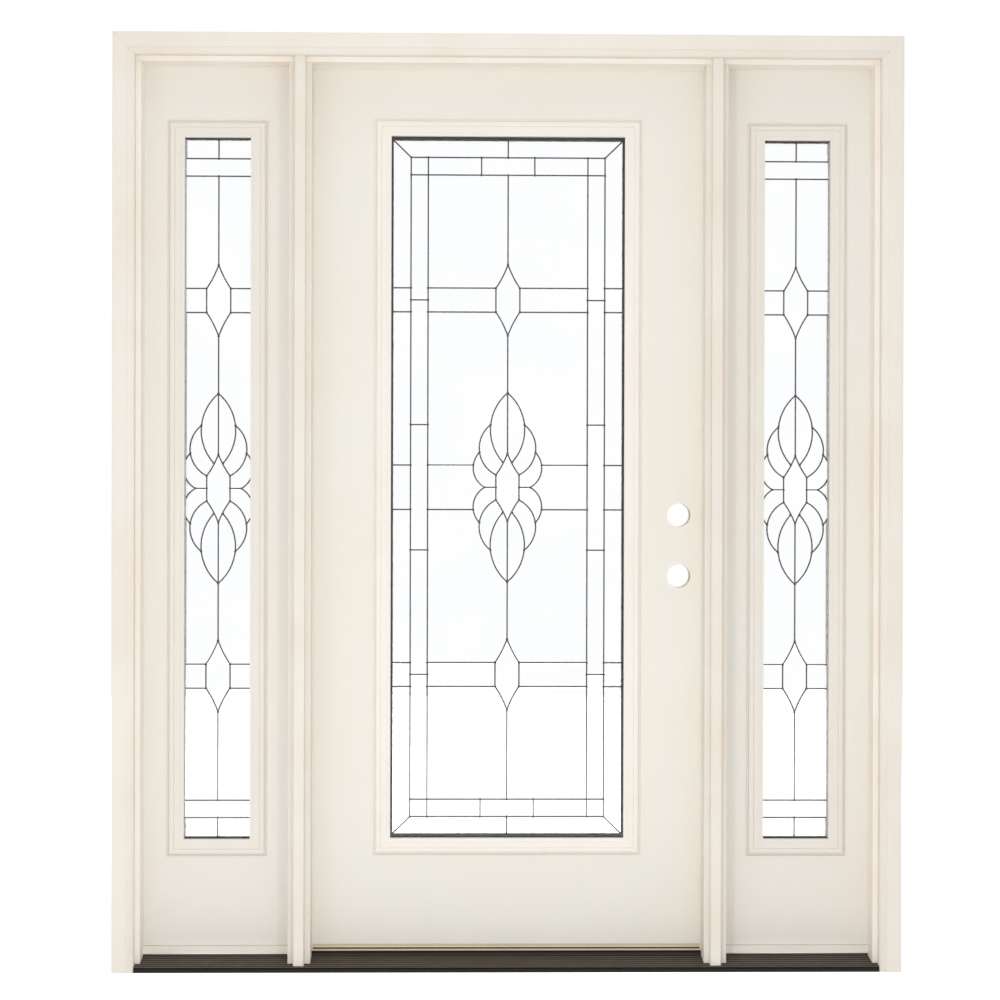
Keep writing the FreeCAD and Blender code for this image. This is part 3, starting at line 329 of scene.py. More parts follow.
# Painted light: the jambs are the trim's primed wood in a lighter copy, which makes up for the
# shade in their recess.
jamb_up_lightened = primed_wood("primed_jamb_upright_lightened", linear(250, 244, 235), "z")
jamb_level_lightened = primed_wood("primed_jamb_level_lightened", linear(250, 244, 235), "x")
skin_paint = primed_skin("primed_fibreglass", linear(238, 235, 226))
panel_paint = primed_skin("primed_panel", linear(238, 235, 228))
lite_vinyl = moulded_vinyl("lite_frame_vinyl", linear(245, 239, 231))
side_vinyl = moulded_vinyl("sidelight_frame_vinyl", linear(236, 231, 222))
stile_wood = bare_wood("stile_softwood", linear(232, 222, 204), linear(214, 200, 176), "z")
rail_wood = bare_wood("rail_softwood", linear(232, 222, 204), linear(214, 200, 176), "x")
sill_metal = dark_bronze("sill_bronze")
base_plastic = soft_plastic("sill_base_plastic", linear(48, 42, 38), gloss=0.1)
# The cap has painted shadow below its foot and painted shade on its top behind the ledge.
cap_vinyl = soft_plastic("threshold_cap_vinyl", linear(214, 200, 170), foot=CAP_SHADOW_TOP,
                         ledge=CAP_SHADED_LEDGE)
sweep_vinyl = soft_plastic("door_bottom_vinyl", linear(214, 200, 169))
# Painted highlight: the lip's vinyl is the sweep's in a lighter copy.
lip_highlight_vinyl = soft_plastic("door_bottom_lip_highlight", linear(244, 230, 200))
fin_rubber = soft_plastic("sweep_fins", linear(46, 42, 38), 0.8, gloss=0.15)
# Painted light: the filler is paler than the panel over it, which makes up for the shade that the
# dark sill throws on it; its ledge is painted darker as shade.
filler_vinyl_lightened = soft_plastic("sidelight_filler_lightened", linear(252, 248, 236), ledge=FILLER_SHADED_LEDGE)
upstand_metal = soft_plastic("sill_upstand", linear(80, 75, 67), 0.5, gloss=0.12)
sealant = soft_plastic("sealant_bead", linear(255, 251, 242), 0.5)
# Painted light: the weatherstrip is paler than its foam, which makes up for the shade in the gap
# round the leaf.
seal_foam_lightened = soft_plastic("weatherstrip", linear(248, 242, 232), 0.8, (1, 1, 0.02))
came_lead = lead("came_lead", linear(66, 64, 63), 0.5, 0.1)
solder = lead("solder", linear(86, 84, 82), 0.4, 0.25)
# Painted light: a pale copy of the spacer's colour, for the sidelights' upright spacer faces.
lightened_spacer = lead("lightened_spacer", linear(216, 213, 207), 0.5, 0.0)
spacer_metal = lead("edge_spacer", linear(34, 32, 30), 0.6, 0.0)
hinge_steel = satin_metal("hinge_steel", linear(158, 154, 148), 0.3)
screw_steel = satin_metal("screw_steel", linear(128, 125, 120), 0.35)
pane_glass = clear_glass("pane_glass", (0.982, 0.99, 0.998, 1), bending=1.35)
bevel_glass = clear_glass("bevelled_glass", (0.985, 0.99, 1.0, 1), (12, 0.0004))
water_glass = clear_glass("hammered_glass", (0.97, 0.98, 0.985, 1), (110, 0.0012))


# Finishes of the CAD nodes
FINISHES = {
    "brickmould_head": wood_level, "brickmould": wood_up, "head_jamb": jamb_level_lightened,
    "jamb": jamb_up_lightened, "mullion": mullion_wood_darkened, "door_skin": skin_paint,
    "sidelight_panel": panel_paint, "sidelight_base": filler_vinyl_lightened,
    "door_lite_frame": lite_vinyl, "sidelight_lite_frame": side_vinyl,
    "door_glass": pane_glass, "sidelight_glass": pane_glass,
    "door_hinge_stile": stile_wood, "door_lock_stile": stile_wood,
    "door_top_rail": rail_wood, "door_bottom_rail": rail_wood,
    "door_sweep": sweep_vinyl, "door_seal": seal_foam_lightened,
    "sill_deck": sill_metal, "sill_base": base_plastic, "sill_cap": cap_vinyl,
    "frame_hinge": hinge_steel, "door_hinge_leaves": hinge_steel, "hinge_pins": hinge_steel,
}


def finish_of(name):
    """The finish whose key is the longest start of a node's name; lead for replaced nodes."""
    keys = [key for key in FINISHES if name.startswith(key)]
    return FINISHES[max(keys, key=len)] if keys else came_lead


for name, node in nodes.items():
    for slot in node.material_slots:
        slot.link = "OBJECT"
        slot.material = finish_of(name)


# Softened edges of the CAD nodes
WELD_REACH = 0.00001
FLAT_ANGLE = math.radians(0.5)
EDGE_ANGLE = math.radians(35)
WOOD_ROUNDING = 0.0007
SKIN_ROUNDING = 0.0003


def soften(name, width):
    """Rounds a node's sharp edges, as planing, moulding and paint do."""
    node = nodes[name]
    weld = node.modifiers.new("weld", "WELD")
    weld.merge_threshold = WELD_REACH
    planar = node.modifiers.new("planar", "DECIMATE")
    planar.decimate_type = "DISSOLVE"
    planar.angle_limit = FLAT_ANGLE
    bevel = node.modifiers.new("bevel", "BEVEL")
    bevel.width = width
    bevel.segments = 2
    bevel.limit_method = "ANGLE"
    bevel.angle_limit = EDGE_ANGLE
    bevel.harden_normals = True


for name in nodes:
    if name.startswith(("brickmould", "jamb", "head_jamb", "mullion")):
        soften(name, WOOD_ROUNDING)
    elif name.startswith(("door_skin", "sill_cap")):
        soften(name, SKIN_ROUNDING)


# Meshes
LEAST_COSINE = 0.2


def add_object(name, data):
    made = bpy.data.objects.new(name, data)
    scene.collection.objects.link(made)
    return made


def add_piece(name, mesh, body, materials, replaced=()):
    """Turns a bmesh into a piece that rides on a body, in place of the nodes it replaces."""
    data = bpy.data.meshes.new(name)
    mesh.normal_update()
    mesh.to_mesh(data)
    mesh.free()
    for material in materials:
        data.materials.append(material)
    piece = add_object(name, data)
    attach(piece, body)
    if replaced:
        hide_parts(*replaced)


def sweep(mesh, line, section, place):
    """Runs a closed section of (aside, depth) pairs along a flat line of (across, up) points."""
    points = [Vector(point) for point in line]
    ways = [(end - start).normalized() for start, end in zip(points, points[1:])]
    rings = []
    for number, here in enumerate(points):
        steps = ways[max(number - 1, 0):number + 1]
        way = sum(steps, Vector((0, 0))).normalized()
        aside = Vector((-way.y, way.x))
        stretch = 1 / max(way.dot(steps[0]), LEAST_COSINE)
        rings.append([
            mesh.verts.new(place((here + aside * (across * stretch)).to_tuple(), depth))
            for across, depth in section
        ])
    for ring, after in zip(rings, rings[1:]):
        for number in range(len(section)):
            following = (number + 1) % len(section)
            mesh.faces.new((ring[number], ring[following], after[following],
                            after[number])).smooth = True
    mesh.faces.new(rings[0][::-1])
    mesh.faces.new(rings[-1])


def rounded_section(half_width, half_depth, count=12, squareness=3.0):
    """A closed oval between an ellipse and a rectangle."""
    points = []
    for number in range(count):
        angle = math.tau * (number + 0.5) / count
        across = abs(math.cos(angle)) ** (2 / squareness)
        depth = abs(math.sin(angle)) ** (2 / squareness)
        points.append((math.copysign(across * half_width, math.cos(angle)),
                       math.copysign(depth * half_depth, math.sin(angle))))
    return points


# The came pattern, from the panel's centre
CAME_WIDTH = 0.0032
CAME_DEPTH = 0.0050
GLASS_BITE = 0.0139
DOOR_RIM = (0.0044, 0.0068)
SIDE_RIM = (0.0014, 0.0030)
BORDER_SIDE = 0.0584
BORDER_END = 0.0594
STRIP_WIDTH = 0.0393
BAND_WIDTH = 0.0400
BAND_DIVIDER = 0.0610
FIELD_DIVIDER = 0.1436
DIAMOND_CENTRE = 0.4295
DIAMOND_HALF_WIDTH = 0.0275
DIAMOND_SHOULDER = 0.0275
DIAMOND_TIP = 0.0815
HEART_HALF_WIDTH = 0.0266
HEART_SHOULDER = 0.0288
HEART_TIP = 0.0780
JEWEL_HOLLOW = 0.0020
FIELD_LEVEL = 0.0510
PETAL_ONE = (0.2170, 0.0393, 0.1370, 0.0108)
PETAL_TWO = (0.1440, 0.0648, 0.0950)
PETAL_THREE = (0.0805, 0.0786, 0.0480, 0.0526)
SHORTEST_RUN = 1e-5
SIGHT_OVERLAP = 0.0005
JOINT_MARGIN = 0.001
SOLDER_SPREAD = 0.95
SOLDER_RISE = 0.0003
SOLDER_LUMPS = 0.12
LUMP_GRAIN = 1.7
LUMP_SHIFT = 90
SPACER_STEP = 0.0012


def circle_through(start, through, end):
    """Centre, radius, first angle and turn of the arc through three points."""
    (ax, ay), (bx, by), (cx, cy) = start, through, end
    double = 2 * (ax * (by - cy) + bx * (cy - ay) + cx * (ay - by))
    squares = [x * x + y * y for x, y in (start, through, end)]
    x = (squares[0] * (by - cy) + squares[1] * (cy - ay) + squares[2] * (ay - by)) / double
    y = (squares[0] * (cx - bx) + squares[1] * (ax - cx) + squares[2] * (bx - ax)) / double
    angles = [math.atan2(v - y, u - x) for u, v in (start, through, end)]
    turn = math.remainder(angles[1] - angles[0], math.tau)
    turn += math.remainder(angles[2] - angles[1], math.tau)
    return (x, y), math.hypot(ax - x, ay - y), angles[0], turn


def bow(start, through, end, steps=14):
    """Points along the arc through three points."""
    (x, y), radius, first, turn = circle_through(start, through, end)
    return [(x + radius * math.cos(first + turn * number / steps),
             y + radius * math.sin(first + turn * number / steps)) for number in range(steps + 1)]


def arc_at_level(arc, level):
    """The point where an arc's circle crosses a level, on the circle's outer side."""
    (x, y), radius, _, _ = circle_through(*arc)
    return x + math.sqrt(radius * radius - (level - y) ** 2), level


def hollow_middle(start, end, centre):
    """The middle of a jewel's slanted edge, drawn in a little towards the jewel."""
    run = math.dist(start, end)
    aside_u = -abs(end[1] - start[1]) / run * math.copysign(1, start[0])
    aside_w = -abs(end[0] - start[0]) / run * math.copysign(1, end[1] - centre)
    return ((start[0] + end[0]) / 2 + JEWEL_HOLLOW * aside_u,
            (start[1] + end[1]) / 2 + JEWEL_HOLLOW * aside_w)


def jewel_lines(centre, half_width, shoulder, tip):
    """A six-sided jewel: upright sides and slanted edges that curve up and down to its tips."""
    lines = []
    for across in (-half_width, half_width):
        lines.append([(across, centre - shoulder), (across, centre + shoulder)])
        for up in (-1, 1):
            start = (across, centre + up * shoulder)
            end = (0, centre + up * tip)
            lines.append(bow(start, hollow_middle(start, end, centre), end))
    return lines


def flower_lines():
    """Three petals in each quarter round the middle jewel, and the short cames beside it."""
    top, width, level, foot = PETAL_ONE
    shoulder = (HEART_HALF_WIDTH, HEART_SHOULDER)
    slant = (HEART_SHOULDER - HEART_TIP) / HEART_HALF_WIDTH
    one = ((0, top), (width, level), (foot, HEART_TIP + slant * foot))
    two = (arc_at_level(one, PETAL_TWO[0]), PETAL_TWO[1:], shoulder)
    three = (arc_at_level(two, PETAL_THREE[0]), PETAL_THREE[1:3], (PETAL_THREE[3], 0))
    lines = []
    for across in (-1, 1):
        lines.append([(across * PETAL_THREE[3], 0), (across * HEART_HALF_WIDTH, 0)])
        for up in (-1, 1):
            for petal in (one, two, three):
                lines.append(bow(*[(across * u, up * w) for u, w in petal]))
    return lines


def came_lines(half_width, half_height, sight_u, sight_w, bordered):
    """Every came's centre line; the door's panel has bands and a mitred border besides."""
    outer = half_width - BORDER_SIDE
    inner = outer - STRIP_WIDTH
    band_outer = half_height - BORDER_END
    band_inner = band_outer - BAND_WIDTH
    reach = inner if bordered else sight_u
    level_reach = outer if bordered else sight_u
    lines = jewel_lines(0, HEART_HALF_WIDTH, HEART_SHOULDER, HEART_TIP) + flower_lines()
    for up in (-1, 1):
        centre = up * DIAMOND_CENTRE
        lines += jewel_lines(centre, DIAMOND_HALF_WIDTH, DIAMOND_SHOULDER, DIAMOND_TIP)
        for low, high in ((HEART_TIP, DIAMOND_CENTRE - DIAMOND_TIP),
                          (DIAMOND_CENTRE + DIAMOND_TIP, band_inner), (band_outer, sight_w)):
            lines.append([(0, up * low), (0, up * high)])
        for level in (band_outer, band_inner):
            lines.append([(-level_reach, up * level), (level_reach, up * level)])
        for across in (-1, 1):
            for level in (centre - DIAMOND_SHOULDER, centre + DIAMOND_SHOULDER):
                lines.append([(across * DIAMOND_HALF_WIDTH, level), (across * reach, level)])
    if not bordered:
        return lines
    for across in (-1, 1):
        for edge in (outer, inner):
            lines.append([(across * edge, -band_outer), (across * edge, band_outer)])
        for up in (-1, 1):
            lines.append([(across * outer, up * band_outer), (across * sight_u, up * sight_w)])
            lines.append([(across * BAND_DIVIDER, up * band_inner),
                          (across * BAND_DIVIDER, up * band_outer)])
            for level in (DIAMOND_CENTRE, FIELD_DIVIDER):
                lines.append([(across * inner, up * level), (across * outer, up * level)])
            for level in (DIAMOND_CENTRE - DIAMOND_SHOULDER, DIAMOND_CENTRE + DIAMOND_SHOULDER,
                          FIELD_LEVEL):
                lines.append([(across * outer, up * level), (across * sight_u, up * level)])
            lines.append([(across * inner, up * FIELD_LEVEL),
                          (across * PETAL_THREE[1], up * FIELD_LEVEL)])
    return lines


def solder_joint(mesh, where, place):
    """A flattened, slightly uneven blob over a joint, on both faces of the came."""
    radius = CAME_WIDTH * SOLDER_SPREAD
    half_depth = CAME_DEPTH / 2 + SOLDER_RISE
    shift = Vector((where[0], where[1], 0)) * LUMP_SHIFT
    made = bmesh.ops.create_icosphere(mesh, subdivisions=2, radius=1.0)
    for vertex in made["verts"]:
        lump = 1 + SOLDER_LUMPS * noise.noise(vertex.co * LUMP_GRAIN + shift)
        across, depth, up = vertex.co.x * lump, vertex.co.y, vertex.co.z * lump
        vertex.co = place((where[0] + across * radius, where[1] + up * radius), depth * half_depth)
    for face in {face for vertex in made["verts"] for face in vertex.link_faces}:
        face.material_index = 1
        face.smooth = True


def clipped(line, sight_u):
    """The run of a line that lies within the sight width."""
    kept = []
    for start, end in zip(line, line[1:]):
        inside = [abs(point[0]) <= sight_u for point in (start, end)]
        if inside[0] != inside[1]:
            edge = math.copysign(sight_u, start[0] if inside[1] else end[0])
            share = (edge - start[0]) / (end[0] - start[0])
            crossing = (edge, start[1] + share * (end[1] - start[1]))
            start, end = (start, crossing) if inside[0] else (crossing, end)
        elif not inside[0]:
            continue
        if math.dist(start, end) < SHORTEST_RUN:
            continue
        if not kept or math.dist(kept[-1][-1], start) > SHORTEST_RUN:
            kept.append([start])
        kept[-1].append(end)
    return kept


def make_cames(glass, cames, name, body, rim, bordered):
    """The lead lattice with its solder joints and the dark spacer round the glass; on the
    sidelights the spacer's upright faces are painted light.
    """
    low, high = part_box(glass)
    centre = (low + high) / 2
    half_width = (high.x - low.x) / 2
    half_height = (high.z - low.z) / 2
    sight_u = half_width - GLASS_BITE - rim[0]
    sight_w = half_height - GLASS_BITE - rim[1]

    def place(point, depth):
        return centre + Vector((point[0], depth, point[1]))

    mesh = bmesh.new()
    section = rounded_section(CAME_WIDTH / 2, CAME_DEPTH / 2)
    joints = set()
    for line in came_lines(half_width, half_height, sight_u, sight_w, bordered):
        for run in clipped(line, sight_u + SIGHT_OVERLAP):
            sweep(mesh, run, section, place)
            joints |= {(round(u, 4), round(w, 4)) for u, w in (run[0], run[-1])}
    for where in sorted(joints):
        if abs(where[0]) < sight_u - JOINT_MARGIN:
            solder_joint(mesh, where, place)
    cad_low, cad_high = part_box(cames)
    make_spacer(mesh, (half_width, half_height), (sight_u, sight_w),
                (cad_high.y - cad_low.y) / 2, place)
    # Painted light: on the sidelights the spacer's upright faces take a pale copy of its colour.
    upright = spacer_metal if bordered else lightened_spacer
    add_piece(name, mesh, body, [came_lead, solder, spacer_metal, upright], [cames])


def make_spacer(mesh, outside, sight, half_depth, place):
    """The rectangular spacer tube, with a small step down to its sight line on each face."""
    ledge = half_depth - SPACER_STEP
    rings = []
    for depth, lip, back in ((-half_depth, 0, True), (-half_depth, SPACER_STEP, False),
                             (-ledge, 0, False), (ledge, 0, False),
                             (half_depth, SPACER_STEP, False), (half_depth, 0, True)):
        u = outside[0] if back else sight[0] + lip
        w = outside[1] if back else sight[1] + lip
        rings.append([mesh.verts.new(place(point, depth))
                      for point in ((-u, -w), (u, -w), (u, w), (-u, w))])
    for ring, after in zip(rings, rings[1:] + rings[:1]):
        for number in range(4):
            following = (number + 1) % 4
            face = mesh.faces.new((ring[number], ring[following], after[following], after[number]))
            # Top and bottom faces take slot 2; the upright faces take slot 3, which on the
            # sidelights is painted light.
            face.material_index = 2 + number % 2


# Cut glass between the cames
BEVEL_WIDTH = 0.0055
BEVEL_SHARES = (1, 0.6, 0.3)
BEVEL_DROP = 0.0011
LEAST_SINE = 0.3
TILE_ANGLE = math.radians(1)
FRONT_NORMAL = -0.9
WIDE_PANEL = 0.15


def drawn_in(outline, width):
    """An outline moved inwards by a width, or None where that would fold it over."""
    count = len(outline)
    moved = []
    for number, here in enumerate(outline):
        before = (here - outline[number - 1]).normalized()
        after = (outline[(number + 1) % count] - here).normalized()
        inward = Vector((-before.y - after.y, before.x + after.x)).normalized()
        sine = max(inward.dot(Vector((-before.y, before.x))), LEAST_SINE)
        moved.append(here + inward * (width / sine))
    for number, here in enumerate(outline):
        following = (number + 1) % count
        if (outline[following] - here).dot(moved[following] - moved[number]) <= 0:
            return None
    return moved


def grind_bevel(mesh, face):
    """Grinds a bevel round a tile's front face, as wide as the tile's form allows."""
    corners = [loop.vert for loop in face.loops]
    level = corners[0].co.y
    outline = [Vector((corner.co.x, corner.co.z)) for corner in corners]
    for share in BEVEL_SHARES:
        inner = drawn_in(outline, BEVEL_WIDTH * share)
        if inner:
            break
    else:
        return
    ring = [mesh.verts.new((point.x, level, point.y)) for point in inner]
    for number, corner in enumerate(corners):
        following = (number + 1) % len(corners)
        mesh.faces.new((corner, corners[following], ring[following], ring[number]))
    mesh.faces.new(ring)
    mesh.faces.remove(face)
    for corner in corners:
        corner.co.y = level + BEVEL_DROP


def make_tiles(node_name, glass, name, body):
    """The CAD's pieces of cut glass, with ground bevels and the border's hammered texture."""
    low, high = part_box(glass)
    centre = (low + high) / 2
    border_u = (high.x - low.x) / 2 - BORDER_SIDE
    border_w = (high.z - low.z) / 2 - BORDER_END
    bordered = border_u > WIDE_PANEL
    mesh = bmesh.new()
    mesh.from_mesh(nodes[node_name].data)
    bmesh.ops.remove_doubles(mesh, verts=mesh.verts, dist=WELD_REACH)
    bmesh.ops.dissolve_limit(mesh, angle_limit=TILE_ANGLE, verts=mesh.verts, edges=mesh.edges)
    mesh.normal_update()
    fronts = [face for face in mesh.faces if face.normal.y < FRONT_NORMAL]
    for face in fronts:
        middle = face.calc_center_bounds() - centre
        if abs(middle.z) > border_w or (bordered and abs(middle.x) > border_u):
            face.material_index = 1
        else:
            grind_bevel(mesh, face)
    add_piece(name, mesh, body, [bevel_glass, water_glass], [node_name])


make_cames("door_glass", "door_cames", "door_came_lattice", "door", DOOR_RIM, True)
make_tiles("door_leaded_glass", "door_glass", "door_cut_glass", "door")
for side in ("left", "right"):
    make_cames(f"sidelight_glass_{side}", f"sidelight_cames_{side}",
               f"sidelight_came_lattice_{side}", "frame", SIDE_RIM, False)
    make_tiles(f"sidelight_leaded_glass_{side}", f"sidelight_glass_{side}",
               f"sidelight_cut_glass_{side}", "frame")


# Turned and screwed pieces; a screw's shares are of its radius
CROSS_ARM = 0.55
CROSS_HALF_WIDTH = 0.14
CROSS_DEPTH = 0.35
CROSS_TAPER = 0.8
HEAD_RISE = 0.00016
HEAD_PROFILE = ((1.0, -0.0006), (1.0, 0.0), (0.9, 0.00012), (0.72, HEAD_RISE))


def turned(mesh, place, profile, segments=32):
    """A shape turned about an axis; 'place' turns (across, across, along) into a point."""
    rings = []
    for radius, along in profile:
        if radius:
            rings.append([mesh.verts.new(place(radius * math.cos(math.tau * number / segments),
                                               radius * math.sin(math.tau * number / segments),
                                               along)) for number in range(segments)])
        else:
            rings.append([mesh.verts.new(place(0, 0, along))])
    for ring, after in zip(rings, rings[1:]):
        for number in range(segments):
            following = (number + 1) % segments
            corners = [ring[number % len(ring)], ring[following % len(ring)],
                       after[following % len(after)], after[number % len(after)]]
            mesh.faces.new(list(dict.fromkeys(corners))).smooth = True


def screw_head(mesh, place, radius, material=0):
    """A dished countersunk head with a cross recess; it lies along the third direction."""
    arm, half_arm = radius * CROSS_ARM, radius * CROSS_HALF_WIDTH
    cross = []
    for turn in range(4):
        for u, v in ((arm, -half_arm), (arm, half_arm), (half_arm, half_arm)):
            for _ in range(turn):
                u, v = -v, u
            cross.append((u, v))
    angles = [math.atan2(v, u) for u, v in cross]
    rings = [[mesh.verts.new(place(radius * share * math.cos(angle),
                                   radius * share * math.sin(angle), rise)) for angle in angles]
             for share, rise in HEAD_PROFILE]
    rings.append([mesh.verts.new(place(u, v, HEAD_RISE)) for u, v in cross])
    rings.append([mesh.verts.new(place(u * CROSS_TAPER, v * CROSS_TAPER, -radius * CROSS_DEPTH))
                  for u, v in cross])
    count = len(cross)
    for ring, after in zip(rings, rings[1:]):
        for number in range(count):
            following = (number + 1) % count
            face = mesh.faces.new((ring[number], ring[following], after[following], after[number]))
            face.material_index = material
    mesh.faces.new(rings[-1]).material_index = material


def bevelled_plate(mesh, low, high, width=0.0004, material=0):
    """A flat bar with softened edges between two corners."""
    outline = ((low[0], low[1]), (high[0], low[1]), (high[0], high[1]), (low[0], high[1]))
    foot = [mesh.verts.new((x, y, low[2])) for x, y in outline]
    top = [mesh.verts.new((x, y, high[2])) for x, y in outline]
    faces = [mesh.faces.new(foot[::-1]), mesh.faces.new(top)]
    for number in range(4):
        after = (number + 1) % 4
        faces.append(mesh.faces.new((foot[number], foot[after], top[after], top[number])))
    for face in faces:
        face.material_index = material
    edges = list(dict.fromkeys(edge for face in faces for edge in face.edges))
    bmesh.ops.bevel(mesh, geom=edges, offset=width, segments=2, affect="EDGES", profile=0.5)


# Hinges
HINGE_LENGTH = 0.1016
HINGE_PLATE = 0.0030
HINGE_WIDTH = 0.0310
BARREL_RADIUS = 0.0065
PIN_RADIUS = 0.0030
KNUCKLE_GAP = 0.0004
KNUCKLES = 5
PLATE_CLEARANCE = 0.0008
DOOR_GAP = 0.0050
PIN_OFFSET = 0.0080
TOP_HINGE_DROP = 0.2286
BOTTOM_HINGE_RISE = 0.3300
PIN_PLAY = 0.0003
PIN_CHAMFER = 0.0008
PIN_HEAD_RADIUS = 0.0045
PIN_HEAD_RISE = 0.0040
PIN_HEAD = ((0.9, 0.0), (1.0, 0.1), (1.0, 0.45), (0.86, 0.78), (0.5, 0.96), (0.0, 1.0))
KNUCKLE_CHAMFER = 0.0006
KNUCKLE_ROOT = 0.001
SCREW_INSETS = (0.009, 0.019, 0.019, 0.009)
SCREW_RADIUS = 0.0041


def hinge_centres():
    """The heights of the three hinges' middles."""
    low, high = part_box("door_skin_inside")
    bottom = low.z + BOTTOM_HINGE_RISE
    top = high.z - TOP_HINGE_DROP
    return bottom, (bottom + top) / 2, top


def make_hinge_leaves(name, node_name, body, frames):
    """The three hinge leaves of one side: plate, knuckles round the pin and countersunk screws."""
    low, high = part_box("door_skin_inside")
    edge = low.x
    pin_x = edge - DOOR_GAP / 2
    pin_y = high.y + PIN_OFFSET
    if frames:
        plate_x = (edge - DOOR_GAP - HINGE_PLATE, edge - DOOR_GAP)
        face_x, out = plate_x[1], 1
    else:
        plate_x = (edge, edge + HINGE_PLATE)
        face_x, out = plate_x[0], -1
    pitch = (HINGE_LENGTH + KNUCKLE_GAP) / KNUCKLES
    bore, mouth = PIN_RADIUS + PIN_PLAY, PIN_RADIUS + 2 * PIN_PLAY
    chamfer, slope = KNUCKLE_CHAMFER, KNUCKLE_CHAMFER / 4
    mesh = bmesh.new()
    for centre in hinge_centres():
        foot = centre - HINGE_LENGTH / 2
        free = pin_y - BARREL_RADIUS - PLATE_CLEARANCE
        bevelled_plate(mesh, (plate_x[0], high.y - HINGE_WIDTH, foot),
                       (plate_x[1], free, foot + HINGE_LENGTH))
        for number in range(KNUCKLES):
            if (number % 2 == 0) != frames:
                continue
            start = foot + pitch * number
            end = start + pitch - KNUCKLE_GAP
            bevelled_plate(mesh, (plate_x[0], free - KNUCKLE_ROOT, start),
                           (plate_x[1], pin_y, end), width=0.0003)
            turned(mesh, lambda u, v, along: Vector((pin_x + u, pin_y + v, along)), [
                (bore, start + chamfer / 2), (mouth, start), (BARREL_RADIUS - chamfer, start),
                (BARREL_RADIUS - slope, start + slope), (BARREL_RADIUS, start + chamfer),
                (BARREL_RADIUS, end - chamfer), (BARREL_RADIUS - slope, end - slope),
                (BARREL_RADIUS - chamfer, end), (mouth, end), (bore, end - chamfer / 2),
                (bore, start + chamfer / 2)])
        for number, inset in enumerate(SCREW_INSETS):
            up = foot + HINGE_LENGTH * (number + 0.5) / len(SCREW_INSETS)
            across = high.y - HINGE_WIDTH + inset
            screw_head(mesh, lambda u, v, along: Vector(
                (face_x + out * along, across + u, up + v)), SCREW_RADIUS, material=1)
    bmesh.ops.recalc_face_normals(mesh, faces=mesh.faces)
    add_piece(name, mesh, body, [hinge_steel, screw_steel], [node_name])


def make_hinge_pins():
    """The three pins with a domed button on top."""
    low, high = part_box("door_skin_inside")
    pin_x = low.x - DOOR_GAP / 2
    pin_y = high.y + PIN_OFFSET
    mesh = bmesh.new()
    for centre in hinge_centres():
        foot = centre - HINGE_LENGTH / 2
        top = foot + HINGE_LENGTH
        shank = [(0, foot), (PIN_RADIUS * 0.7, foot), (PIN_RADIUS, foot + PIN_CHAMFER),
                 (PIN_RADIUS, top)]
        head = [(PIN_HEAD_RADIUS * share, top + PIN_HEAD_RISE * rise) for share, rise in PIN_HEAD]
        turned(mesh, lambda u, v, along: Vector((pin_x + u, pin_y + v, along)), shank + head,
               segments=24)
    bmesh.ops.recalc_face_normals(mesh, faces=mesh.faces)
    add_piece("hinge_pin_set", mesh, "frame", [hinge_steel], ["hinge_pins"])


make_hinge_leaves("frame_hinge_set", "frame_hinge_leaves", "frame", True)
make_hinge_leaves("door_hinge_set", "door_hinge_leaves", "door", False)
make_hinge_pins()


# Door bottom
SWEEP_FACE = 0.0019
LIP_HEIGHT = 0.0022
LIP_DEPTH = 0.0006
LIP_ROOT = 0.001
FINS = 8
FIN_SETBACK = 0.0035
FIN_THICKNESS = 0.0022
FIN_ROOT = 0.0004
FIN_INSET = 0.001


def make_sweep():
    """The door bottom: a tan extrusion over dark flexible fins that close on the cap, with a small
    lip along its front painted lighter as a highlight.
    """
    low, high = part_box("door_sweep")
    shoulder = low.z + SWEEP_FACE
    mesh = bmesh.new()
    bevelled_plate(mesh, (low.x, low.y, shoulder), (high.x, high.y, high.z), width=0.0005)
    # The lip, painted lighter as a highlight.
    bevelled_plate(mesh, (low.x, low.y - LIP_DEPTH, shoulder),
                   (high.x, low.y + LIP_ROOT, shoulder + LIP_HEIGHT), width=0.0002, material=2)
    depth = high.y - low.y - 2 * FIN_SETBACK
    for number in range(FINS):
        front = low.y + FIN_SETBACK + depth * number / FINS
        bevelled_plate(mesh, (low.x + FIN_INSET, front, low.z),
                       (high.x - FIN_INSET, front + FIN_THICKNESS, shoulder + FIN_ROOT),
                       width=0.0002, material=1)
    bmesh.ops.recalc_face_normals(mesh, faces=mesh.faces)
    add_piece("door_bottom_sweep", mesh, "door", [sweep_vinyl, fin_rubber, lip_highlight_vinyl],
              ["door_sweep"])


make_sweep()


# Small fixings
PLUG_RADIUS = 0.0052
PLUG_INSET = 0.0165
PLUG_SEAT = 0.0012
PLUG_PROFILE = ((1.0, 0.001), (1.0, 0.0), (0.93, -0.0003), (0.6, -0.0006), (0.0, -0.0007))
PLUGS_A_SIDE = 8
WIDE_FRAME = 0.4
CAP_SCREW_PLACES = (0.1, 0.37, 0.63, 0.9)
CAP_SCREW_RADIUS = 0.0045
CAP_SCREW_SINK = 0.0001


